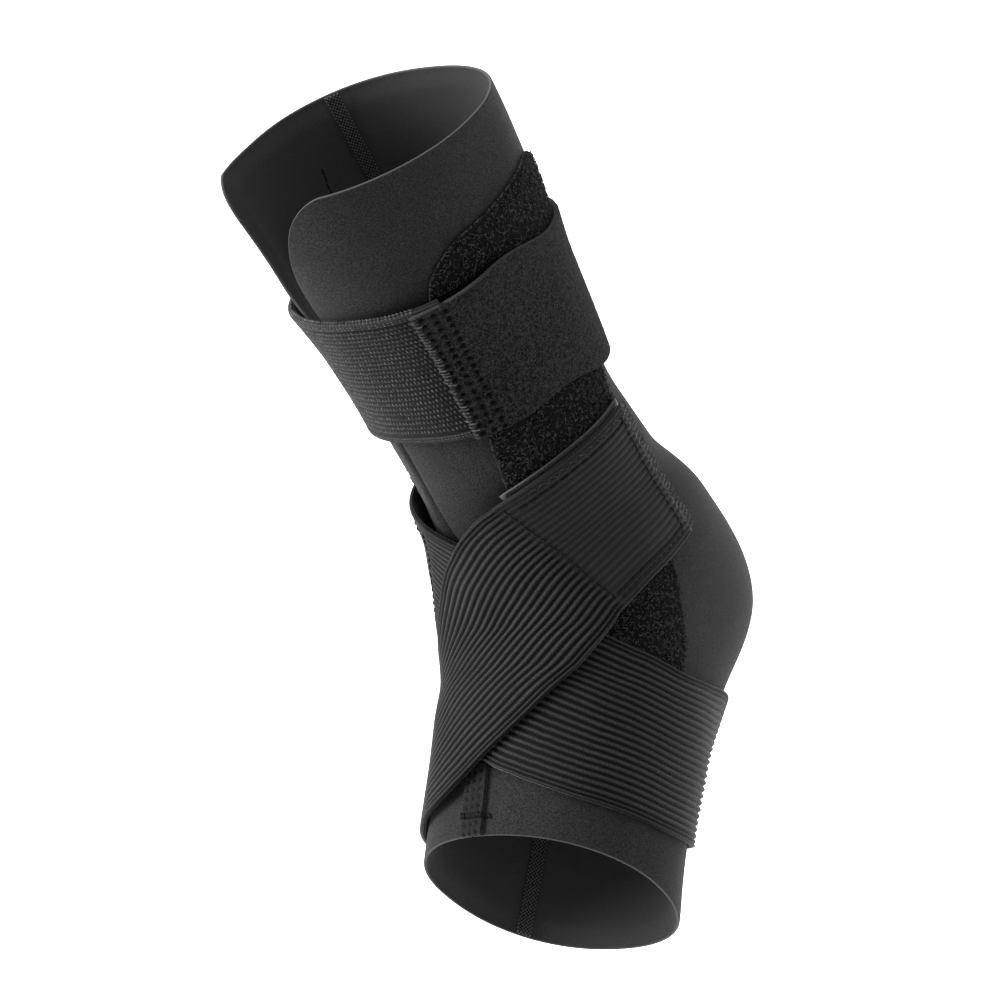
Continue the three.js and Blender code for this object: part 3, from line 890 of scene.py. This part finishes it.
def ribRise(v):
    body = straps["width"] - 2 * ribs["edge"]
    pitch, thin = body / ribs["count"], ribs["edge"] / ribs["edgeRibs"]
    inBody = np.abs(v) < body / 2
    share = np.where(inBody, (v + body / 2) / pitch, (np.abs(v) - body / 2) / thin) % 1.0
    return np.sin(np.pi * share) ** 2


def strapLay(line, height, cutBack):
    # where a strap's run and across lie, and how high
    places = lambda run, across: placedOn(line, slanted(run, across, cutBack), across)
    return places, laidOver(height, places, line[2][-1], halfStrap)


def crossStrap(name, line, lay, cadNode):
    across, run = np.meshgrid(ribColumns(), line[2])
    run = run + ribs["overhang"] * np.clip(1 - run / ribs["pressedEnd"], 0, 1)
    s, turn = lay[0](run, across)
    low = lay[1](run, across)
    pressed = 1 - smooth((run - ribs["pressedEnd"] - 1.0) / 2.0 + 0.5)
    depth = ribs["depth"] * (1 - 0.5 * pressed)
    rise = ribRise(across)
    high = low + straps["thickness"] - depth * (1 - rise) - ribs["pressedDepth"] * pressed
    inside = np.minimum.reduce([halfStrap - np.abs(across), run - run[0], run[-1] - run])
    # how much painted shade each groove between the ribs gets
    paintedGrooveShade = (1 - smooth((rise - 0.42) / 0.5)) * (1 - 0.3 * pressed)
    strap = newCloth(
        name, s, turn, low - 0.25, high, inside, 0.5, (run, across),
        {"paintedGrooveShade": paintedGrooveShade, "pressed": pressed * 0.5}, looks["ribbedElastic"],
    )
    standFor(strap, "ribbed_elastic", cadNode)
    return strap


upperLine = spacedLine(straps["upperLine"], straps["step"])
lowerLine = spacedLine(straps["lowerLine"], straps["step"])
lowerLay = strapLay(lowerLine, lowerHeight, 0)
upperLay = strapLay(upperLine, upperHeight, straps["cutBack"])
lowerStrap = crossStrap("lowerStrap", lowerLine, lowerLay, "lower_strap")
upperStrap = crossStrap("upperStrap", upperLine, upperLay, "upper_strap")


def threadsOn(name, lay, marks, thread, arch, look):
    # stitches that dip into the strap at both ends; a mark is run and across at its two ends
    marks = np.array(marks)
    share = np.linspace(0, 1, 6)
    run = marks[:, [0]] + (marks[:, [2]] - marks[:, [0]]) * share
    across = marks[:, [1]] + (marks[:, [3]] - marks[:, [1]]) * share
    s, turn = lay[0](run, across)
    rise = straps["thickness"] - ribs["pressedDepth"] - 0.25 + arch * np.sin(np.pi * share) ** 0.5
    paths = raised(s, turn, lay[1](run, across) + rise)
    threads = newThreads(name, paths, slopesAt(s, turn)[2], thread, 4, looks[look])
    standFor(threads, "ribbed_elastic")
    return threads


def endStitches(name, lay, upperSide):
    # the overlocked end, the line inside it, the box stitch and the zigzag along the upper edge
    rng = np.random.default_rng(8)
    edge, end, far = halfStrap - 0.5, ribs["hem"], ribs["pressedEnd"]
    wobble = lambda size=0.12: rng.normal(0, size)
    overlock, lines, squiggles = [], [], []
    for v in np.arange(-edge, edge - 0.5, ribs["overlockPitch"]):
        overlock.append((0.0, v + wobble(), 2.8, v + 0.8 + wobble()))
    for v in np.arange(-edge + 2, edge - 3, ribs["stitchPitch"]):
        lines.append((end + wobble(), v, end + wobble(), v + ribs["stitch"]))
        lines.append((far + wobble(), v, far + wobble(), v + ribs["stitch"]))
    for r in np.arange(end, far - 2, ribs["stitchPitch"]):
        for v in (-upperSide * (edge - 2.6), -upperSide * (edge - 4.2), upperSide * (edge - 4.4)):
            lines.append((r, v + wobble() / 2, r + ribs["stitch"], v + wobble() / 2))
    for k, r in enumerate(np.arange(2.5, far - 6, ribs["zigzag"] / 2)):
        near, away = upperSide * (edge - 1.2 + wobble()), upperSide * (edge - 2.5 + wobble(0.3))
        ends = (near, away) if k % 2 else (away, near)
        squiggles.append((r, ends[0], r + ribs["zigzag"] * 0.6 + wobble(0.25), ends[1]))
    return [
        threadsOn(name + "Overlock", lay, overlock, ribs["overlockThread"], 0.3, "edgeThread"),
        threadsOn(name + "Lines", lay, lines, ribs["lineThread"], 0.36, "darkThread"),
        threadsOn(name + "Squiggles", lay, squiggles, ribs["thread"], 0.3, "greyThread"),
    ]


lowerStitches = endStitches("lowerStrapEnd", lowerLay, 1)
upperStitches = endStitches("upperStrapEnd", upperLay, -1)
print("crossing straps made")


def hookTab(name, line, length, height, upperSide, cutBack, cadNode):
    line = cut(line, length)
    wide = straps["width"] + straps["tabOverhang"]
    v = edged(wide, 1.5, 0.45) - halfStrap
    if upperSide < 0:
        v = v - straps["tabOverhang"]
    across, run = np.meshgrid(v, line[2])
    s, turn = placedOn(line, slanted(run, across, cutBack), across)
    inside = np.minimum.reduce([across - v[0], v[-1] - across, run, run[-1] - run])
    low = height(s, turn)
    # the painted edge highlight, on the upper tab only
    rim = (1 - smooth(inside / 0.3)) * (upperSide < 0)
    tab = newCloth(
        name, s, turn, low - 0.2, low + straps["tabThickness"], inside, 0.45, (run, across),
        {"rim": rim}, looks["hookPlastic"],
    )
    standFor(tab, "hook_tab", cadNode)


hookTab("lowerTab", lowerLine, straps["lowerTabLength"], groundHeight, 1, 0, "lower_strap_tab")
hookTab(
    "upperTab", upperLine, straps["tabLength"], upperTabHeight, -1, straps["cutBack"], "upper_strap_tab"
)

# The calf strap: knitted elastic, then a tab faced with loops
calf = {
    "width": 48,
    "thickness": 2.0,
    "tabThickness": 1.6,
    "knitFrom": -188,
    "knitTo": 37,
    "tabFrom": 25,
    "tabTo": 154,
    # turn and share of the path of the middle line
    "line": [(-190, 0.29), (-100, 0.268), (0, 0.235), (60, 0.235), (105, 0.27), (170, 0.29)],
    "stitchAlong": 1.25,
    "stitchAcross": 1.75,
    "stitchLength": 1.0,
    "stitchThread": 0.27,
    "edgeRibs": 3,
    "edgeRib": 0.8,
    # rows of stitches along the knit's edges: how far inside, how far below the face
    "ribRows": [(-0.12, 1.2), (0.2, 0.45), (1.0, 0.0), (1.8, 0.0)],
    "jointPitch": 1.25,
    "jointThread": 0.21,
    "holeFrom": 1.6,  # the first hole from the tab's side
    "holePitch": 2.8,
    "holeColumns": (2.2, 5.0, 7.8),
    "holeSize": 0.74,
}
holeStagger = 0.35  # from one column of stitch holes to the next
calfLineOf = columnsOf(calf["line"])[0]
halfCalf = calf["width"] / 2


def calfPlaces(fromTurn, toTurn):
    # from run and across to places, and the strap's length between two turns
    fine = np.linspace(fromTurn, toTurn, 400)
    points = surfaceAt(calfLineOf(fine) * pathLength, fine)
    runs = np.concatenate([[0], np.cumsum(np.linalg.norm(np.diff(points, axis=0), axis=1))])

    def places(run, across):
        turn = np.interp(run, runs, fine)
        return calfLineOf(turn) * pathLength + across, turn

    return places, runs[-1]


def calfTabHeight(s, turn):
    beforeEnd = (calf["knitTo"] - turn) * radiusAt(s, turn) * math.pi / 180
    return groundHeight(s, turn) + climb(beforeEnd) * (calf["thickness"] + gap)


def makeKnit():
    edgeBand = calf["edgeRibs"] * calf["edgeRib"]
    ribPlaces = np.arange(0, edgeBand, calf["edgeRib"] / 5)
    middle = np.arange(edgeBand, calf["width"] - edgeBand, calf["stitchAcross"] / 4)
    v = np.concatenate([ribPlaces, middle, calf["width"] - ribPlaces[::-1]]) - halfCalf
    v = np.unique(np.round(v, 4))
    places, total = calfPlaces(calf["knitFrom"], calf["knitTo"])
    lay = laidOver(groundHeight, places, total, halfCalf)
    across, run = np.meshgrid(v, edged(total, 0.9, 0.8))
    s, turn = places(run, across)
    fromEdge = halfCalf - np.abs(across)
    ribRow = fromEdge < edgeBand
    rowShare = (across + halfCalf - edgeBand - 0.3) / calf["stitchAcross"]
    ribWave = np.abs(np.sin(np.pi * fromEdge / calf["edgeRib"])) ** 0.8
    rowWave = 0.3 + 0.5 * np.cos(np.pi * (rowShare - 0.5)) ** 2
    rise = np.where(ribRow, ribWave, rowWave)
    low = lay(run, across)
    high = low + calf["thickness"] - 0.55 * (1 - rise)
    inside = np.minimum.reduce([fromEdge, run, total - run])
    # painted highlight on the edge ribs' crests
    rim = np.where(ribRow, rise * 0.4, 0.0)
    knit = newCloth(
        "calfKnit", s, turn, low - 0.25, high, inside, 0.5, (run, across), {"rim": rim}, looks["knitBase"]
    )
    standFor(knit, "knit_elastic", "calf_strap_knit")
    rng = np.random.default_rng(11)
    columns = np.arange(1.0, total - 6.0, calf["stitchAlong"])
    span = calf["width"] - 2 * edgeBand - 0.6
    rows = np.arange(0.5, span / calf["stitchAcross"])
    runGrid, rowGrid = np.meshgrid(columns, rows, indexing="ij")
    runGrid = runGrid + (np.arange(len(rows)) % 2) * calf["stitchAlong"] / 2
    vGrid = -span / 2 + rowGrid * calf["stitchAcross"]
    runGrid, vGrid = runGrid.ravel(), vGrid.ravel()
    runGrid = runGrid + rng.normal(0, 0.08, runGrid.shape)
    vGrid = vGrid + rng.normal(0, 0.09, vGrid.shape)
    lean = rng.normal(0.3, 0.08, runGrid.shape)
    long = calf["stitchLength"] * rng.uniform(0.85, 1.1, runGrid.shape)
    steps = np.linspace(-0.5, 0.5, 5)
    lift = np.array([-0.35, 0.1, 0.25, 0.1, -0.35])
    stitchRun = runGrid[:, None] + steps * long[:, None] * lean[:, None] * 1.4
    stitchV = vGrid[:, None] + steps * long[:, None]
    # the edge ribs' stitches lie along the strap
    ribRun, ribAt = np.meshgrid(np.arange(0.8, total - 6, 1.05), np.arange(2 * len(calf["ribRows"])))
    ribRun, ribAt = ribRun.ravel()[:, None], ribAt.ravel()[:, None]
    fromEdgeOf, dropOf = np.array(calf["ribRows"]).T
    side = np.where(ribAt % 2, 1, -1)
    ribV = side * (halfCalf - fromEdgeOf[ribAt // 2])
    ribDrop = dropOf[ribAt // 2] + 0 * steps
    stitchRun = np.concatenate([stitchRun, ribRun + steps * 0.85])
    stitchV = np.concatenate([stitchV, ribV + steps * 0.25])
    stitchS, stitchTurn = places(stitchRun, stitchV)
    height = lay(stitchRun, stitchV) + calf["thickness"] - 0.4 + lift
    height[-len(ribDrop):] -= ribDrop
    tubes = raised(stitchS, stitchTurn, height)
    up = slopesAt(stitchS, stitchTurn)[2]
    radii = calf["stitchThread"] * np.array([0.55, 0.95, 1.1, 0.95, 0.55])
    stitches = newThreads("knitStitches", tubes, up, radii, 5, looks["knitThread"])
    standFor(stitches, "knit_elastic")


def punched(along, across, pitch, columns, size, stagger):
    # how deep a place lies in columns of stitch holes
    hole = np.zeros_like(along)
    for k, column in enumerate(columns):
        shifted = (along + stagger * k) % pitch
        near = np.minimum(shifted, pitch - shifted)
        away = ((across - column) / size) ** 2 + (near / size) ** 2
        hole = np.maximum(hole, np.exp(-(away**1.5)))
    return hole


def makeTab():
    rng = np.random.default_rng(5)
    v = edged(calf["width"], 0.5, 0.7) - halfCalf
    places, total = calfPlaces(calf["tabFrom"], calf["tabTo"])
    runs = np.unique(np.concatenate([edged(total, 1.2, 0.7), np.arange(0.7, 10.5, 0.35)]))
    across, run = np.meshgrid(v, runs)
    s, turn = places(run, across)
    lay = laidOver(calfTabHeight, places, total, halfCalf)
    low = lay(run, across)
    fromSide = across + halfCalf - calf["holeFrom"]
    hole = punched(fromSide, run, calf["holePitch"], calf["holeColumns"], calf["holeSize"], -holeStagger)
    fromEdge = halfCalf - np.abs(across)
    ridge = np.exp(-(((run - 0.9) / 0.7) ** 2)) * 0.2
    sunk = 0.12 * np.exp(-(((run - 5.0) / 4.0) ** 4))
    fuzz = rng.normal(0, 0.035, s.shape)
    high = low + calf["tabThickness"] + fuzz + ridge - sunk - 0.8 * hole
    inside = np.minimum.reduce([fromEdge, run, total - run])
    # where the tab look paints its edge and joint highlight
    rim = np.maximum((1 - smooth(fromEdge / 0.35)) * 0.6, np.exp(-(((run - 0.5) / 0.5) ** 2)) * 0.4)
    tab = newCloth(
        "calfTab", s, turn, low - 0.25, high, inside, 0.4, (run, across),
        {"rim": rim, "hole": np.clip(hole * 1.3, 0, 1)}, looks["tabFabric"],
    )
    standFor(tab, "tab_fabric", "calf_strap_tab")
    starts = np.arange(-halfCalf + 0.4, halfCalf - 0.8, calf["jointPitch"])
    share = np.linspace(0, 1, 6)
    wobble = lambda size: rng.normal(0, size, (len(starts), 1))
    threadRun = -0.2 + wobble(0.22) + share * (1.5 + wobble(0.35))
    threadV = starts[:, None] + wobble(0.12) + share * 0.75
    jointS, jointTurn = places(np.maximum(threadRun, 0), threadV)
    rise = calf["tabThickness"] + 0.1 + 0.32 * np.sin(np.pi * share) ** 0.5
    paths = raised(jointS, jointTurn, lay(threadRun, threadV) + rise)
    up = slopesAt(jointS, jointTurn)[2]
    joint = newThreads("calfJointThread", paths, up, calf["jointThread"], 5, looks["edgeThread"])
    standFor(joint, "tab_fabric")


makeKnit()
makeTab()
print("calf strap made")


def covered(s, turn, margin):
    # where a strap hides the sleeve
    near = np.where(turn > calf["line"][-1][0], turn - 360, turn)
    calfAway = np.abs(s - calfLineOf(near) * pathLength)
    underCalf = calfAway < halfCalf - margin
    return underCalf | (upperCover(s, turn) > margin) | (lowerCover(s, turn) > margin)


def loopPatch(name, mirror, cadNode):
    rng = np.random.default_rng(21 if mirror else 20)
    lengths = np.concatenate([
        patchTop + patch["cornerDrop"] * (1 - np.cos(np.radians(np.arange(0, 90, 4)))),
        np.arange(patchTop + patch["cornerDrop"], patchBottom - patch["rim"], patch["step"] * 1.3),
        patchBottom - patch["rim"] * (1 - np.cos(np.radians([90, 65, 45, 25, 0]))),
    ])[:, None]
    front, rear = patchEdges(lengths, mirror)
    wide = patch["columnsOver"]
    f = edged(wide, patch["step"], patch["rim"])[None, :] / wide
    own = front + (rear - front) * f
    s = lengths * np.ones_like(own)
    turn = mirroredTurn(own) if mirror else own
    inside = insidePatch(s, turn)
    low = gap + (flareHeight(s, turn) if mirror else 0 * s)
    lump = rng.normal(0, 0.09, s.shape)
    inner = smooth(inside / patch["hem"])
    high = low + patch["thickness"] - 0.7 + 0.45 * inner + lump * inner
    # where the loop look paints highlight specks along the edge
    rim = 1 - smooth(inside / 0.7)
    piece = newCloth(
        name, s, turn, low - 0.3, high, np.maximum(inside, 0), patch["rim"], (s, own),
        {"rim": rim * 0.5}, looks["loopPile"],
    )
    standFor(piece, "loop_pile", cadNode)
    count = patch["curlTries"]
    ps = rng.uniform(patchTop, patchBottom, count)
    frontP, rearP = patchEdges(ps, mirror)
    pOwn = rng.uniform(*patch["curlTurns"], count)
    pTurn = mirroredTurn(pOwn) if mirror else pOwn
    keep = (pOwn > frontP) & (pOwn < rearP) & (insidePatch(ps, pTurn) > 0.7) & ~covered(ps, pTurn, 0.3)
    ps, pTurn = ps[keep][: patch["curlsKept"]], pTurn[keep][: patch["curlsKept"]]
    n = len(ps)
    steps = np.linspace(-1, 1, 7)
    angle = rng.uniform(0, 2 * math.pi, n)
    wideness = patch["curlWidth"] * rng.uniform(0.6, 1.15, n)
    tall = patch["curlHeight"] * rng.uniform(0.6, 1.2, n)
    tilt = rng.normal(0, 0.45, n)
    arch = np.sqrt(1 - steps**2 * 0.96)
    arch = arch - arch.min()
    flat = steps[None, :] * wideness[:, None] / 2 * (0.75 + 0.25 * arch)
    bulge = tilt[:, None] * arch
    ds = flat * np.cos(angle)[:, None] - bulge * np.sin(angle)[:, None]
    dr = flat * np.sin(angle)[:, None] + bulge * np.cos(angle)[:, None]
    cs = ps[:, None] + ds
    ct = pTurn[:, None] + degreesFor(dr, ps[:, None], pTurn[:, None])
    base = gap + (flareHeight(cs, ct) if mirror else 0 * cs) + patch["thickness"] - 0.45
    paths = raised(cs, ct, base + arch * tall[:, None])
    up = slopesAt(cs, ct)[2] + rng.normal(0, 0.02, (n, 1, 3))
    curls = newThreads(name + "Curls", paths, up, patch["curlThread"], 3, looks["curlThread"])
    standFor(curls, "loop_pile")
    flat = patch["innerFlat"] if mirror else patch["outerFlat"]


loopPatch("outerLoopPatch", False, "outer_loop_patch")
loopPatch("innerLoopPatch", True, "inner_loop_patch")
print("loop patches made")


# Stitched bands along the seams: the place round the sleeve, where it starts, and its holes
bands = {
    "instepSeam": {"turn": sleeve["frontSeam"], "from": sleeve["slitLevel"], "width": seam["width"],
                   "columns": (-2.1, 0, 2.1), "pitch": 2.6, "size": 0.52, "deep": 0.5},
    "rearTape": {"turn": sleeve["rearSeam"] - 360, "from": 0.0, "width": 4.6,
                 "columns": (-1.3, 0, 1.3), "pitch": 1.5, "size": 0.3, "deep": 0.25},
}


def seamBand(name, low, high, outward, look, slotName, cadNode):
    band = bands[name]
    half = band["width"] / 2
    u = np.arange(band["from"] + 0.002, 0.999, 0.6 / pathLength)
    u = np.concatenate([[band["from"]], u, [1.0]])[:, None]
    v = edged(band["width"], 0.42, 0.4)[None, :] - half
    turn = band["turn"] + degreesFor(v, u * pathLength, band["turn"])
    s = lengthAt(u, turn)
    across = np.broadcast_to(v, s.shape)
    hole = punched(s, across, band["pitch"], band["columns"], band["size"], holeStagger)
    alongEnds = np.minimum(u - band["from"], 1 - u) * pathLength + 0 * across
    inside = np.minimum(half - np.abs(across), alongEnds)
    dip = band["deep"] * hole
    bottom, top = (low + 0 * s, high - dip) if outward else (low + dip, high + 0 * s)
    made = newCloth(name, s, turn, bottom, top, inside, 0.15, (s, across), {"hole": hole}, look)
    standFor(made, slotName, cadNode)
    return made


instepSeam = seamBand(
    "instepSeam", gap - 0.5, gap + seam["thickness"], True,
    looks["seamFleece"], "seam_thread", "instep_seam",
)
rearTape = seamBand(
    "rearTape", -wall - seam["thickness"], -wall - 0.1, False, looks["seamTape"], "seam_tape", "rear_seam"
)

# The bar of stitches that ends the instep seam, the stitched line inside and the rear seam's row
details = {
    "barBelow": 6.0,  # from the toe rim
    "barLength": 11.0,
    "barStitches": 34,
    "barWidth": 1.5,
    "barThread": 0.2,
    "rearPitch": 1.9,
    "rearSlant": 1.3,
    "rearThread": 0.25,
    "creaseTurn": (-116, -109),
    "creaseShare": (0.08, 0.22),
    "creaseStitches": 16,
    "creaseThread": 0.22,
}


def looseStitches(name, s, turn, height, thread, look, slotName):
    paths = raised(s, turn, height)
    made = newThreads(name, paths, slopesAt(s, turn)[2], thread, 5, looks[look])
    standFor(made, slotName)
    return made


def seamBar():
    rng = np.random.default_rng(3)
    count, half = details["barStitches"], details["barLength"] / 2
    toe = rimsAt(sleeve["frontSeam"])[1] - details["barBelow"]
    share = np.linspace(0, 1, 6)
    across = np.linspace(-half, half, count)[:, None] + share * 0.7 + rng.normal(0, 0.1, (count, 1))
    s = toe + (share - 0.5) * details["barWidth"] + rng.normal(0, 0.15, (count, 1))
    turn = sleeve["frontSeam"] + degreesFor(across, s, sleeve["frontSeam"])
    onBand = smooth((seam["width"] / 2 + 0.8 - np.abs(across)) / 0.8)
    height = onBand * (gap + seam["thickness"]) + 0.1 + 0.3 * np.sin(np.pi * share)
    return looseStitches("seamBar", s, turn, height, details["barThread"], "darkThread", "seam_thread")


def creaseStitches():
    rng = np.random.default_rng(4)
    count, thread = details["creaseStitches"], details["creaseThread"]
    share = np.linspace(0, 1, 6)
    at = (np.arange(count)[:, None] + share * 0.8) / count
    low, high = details["creaseShare"]
    s = (low + (high - low) * at) * pathLength
    turn = details["creaseTurn"][0] + (details["creaseTurn"][1] - details["creaseTurn"][0]) * at
    turn = turn + rng.normal(0, 0.25, (count, 1))
    height = -wall - 0.05 - 0.2 * np.sin(np.pi * share)
    return looseStitches("creaseStitches", s, turn, height + 0 * s, thread, "darkThread", "neoprene")


def rearStitches():
    # the seam shows outside as a row of stitches, from the top rim to the toe rim
    rng = np.random.default_rng(6)
    pitch = details["rearPitch"]
    starts = np.arange(3.0, pathLength - 6.0, pitch)[:, None]
    share = np.linspace(0, 1, 6)
    s = starts + share * pitch * 0.75 + rng.normal(0, 0.08, starts.shape)
    slant = details["rearSlant"] * (share - 0.5) + rng.normal(0, 0.06, starts.shape)
    turn = sleeve["rearSeam"] - 360 + degreesFor(slant, s, sleeve["rearSeam"])
    height = 0.05 + 0.2 * np.sin(np.pi * share) + 0 * s
    return looseStitches("rearStitches", s, turn, height, details["rearThread"], "darkThread", "neoprene")


seamEnds = seamBar()
crease = creaseStitches()
rearStitches()
print("seams made")

# The room: floor, lights and camera
studio = {
    "floorBelow": 0.2,
    "floorSize": 8.0,
    "cameraTurn": 41,
    "cameraRise": 29,
    "cameraRoll": 28,
    "cameraAway": 1.8,
    "frameWidth": 0.297,  # what the camera sees across, at the ankle
    "shift": (-0.0315, 0.0282),  # the ankle's place in the photograph, off the middle
}


def makeFloor():
    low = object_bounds()[0]
    mesh = bpy.data.meshes.new("floor")
    half = studio["floorSize"] / 2
    z = low.z - studio["floorBelow"]
    corners = [(-half, -half, z), (half, -half, z), (half, half, z), (-half, half, z)]
    mesh.from_pydata(corners, [], [(0, 1, 2, 3)])
    look, tree, shader = newLook("floorPaint", (0.9, 0.9, 0.9), 0.9, 0.0, 0.5)
    faint = grain(tree, 30.0, 3.0, 0.5)
    tree.links.new(between(tree, faint, grey(0.9), grey(0.92)), shader.inputs["Base Color"])
    bumped(tree, shader, grain(tree, 1.5, 2.0, 0.5), 0.05, 0.1)
    mesh.materials.append(look)
    floor = bpy.data.objects.new("floor", mesh)
    bpy.context.scene.collection.objects.link(floor)


def cameraAxes():
    a, e, r = (math.radians(studio[k]) for k in ("cameraTurn", "cameraRise", "cameraRoll"))
    back = Vector((math.sin(a) * math.cos(e), -math.cos(a) * math.cos(e), math.sin(e)))
    right = Vector((math.cos(a), math.sin(a), 0))
    up = back.cross(right)
    return right * math.cos(r) - up * math.sin(r), right * math.sin(r) + up * math.cos(r), back


def makeCamera():
    right, up, back = cameraAxes()
    camera = bpy.data.objects.new("camera", bpy.data.cameras.new("camera"))
    bpy.context.scene.collection.objects.link(camera)
    camera.data.sensor_width = 36
    camera.data.lens = 36 * studio["cameraAway"] / studio["frameWidth"]
    camera.data.clip_end = 50
    place = back * studio["cameraAway"] + right * studio["shift"][0] + up * studio["shift"][1]
    camera.matrix_world = Matrix((
        (right.x, up.x, back.x, place.x),
        (right.y, up.y, back.y, place.y),
        (right.z, up.z, back.z, place.z),
        (0, 0, 0, 1),
    ))
    bpy.context.scene.camera = camera


def softbox(name, rightward, upward, backward, size, watts):
    # a square light placed from the camera's own directions, aimed at the ankle
    right, up, back = cameraAxes()
    place = right * rightward + up * upward + back * backward
    lamp = bpy.data.lights.new(name, "AREA")
    lamp.shape = "SQUARE"
    lamp.size = size
    lamp.energy = watts
    light = bpy.data.objects.new(name, lamp)
    light.location = place
    light.rotation_mode = "QUATERNION"
    light.rotation_quaternion = place.to_track_quat("Z", "Y")
    bpy.context.scene.collection.objects.link(light)


makeFloor()
makeCamera()
softbox("leftSoftbox", -1.5, 0.4, 0.3, 0.9, 75)
softbox("rightSoftbox", 1.5, 0.3, 0.3, 0.9, 6)
softbox("topSoftbox", -0.2, 1.6, 0.8, 1.2, 22)
bpy.context.scene.view_settings.view_transform = "Standard"
world = bpy.data.worlds.new("studioAir")
world.use_nodes = True
air = world.node_tree.nodes["Background"].inputs
air["Color"].default_value = (1, 1, 1, 1)
air["Strength"].default_value = 1.0
bpy.context.scene.world = world
print("studio made")
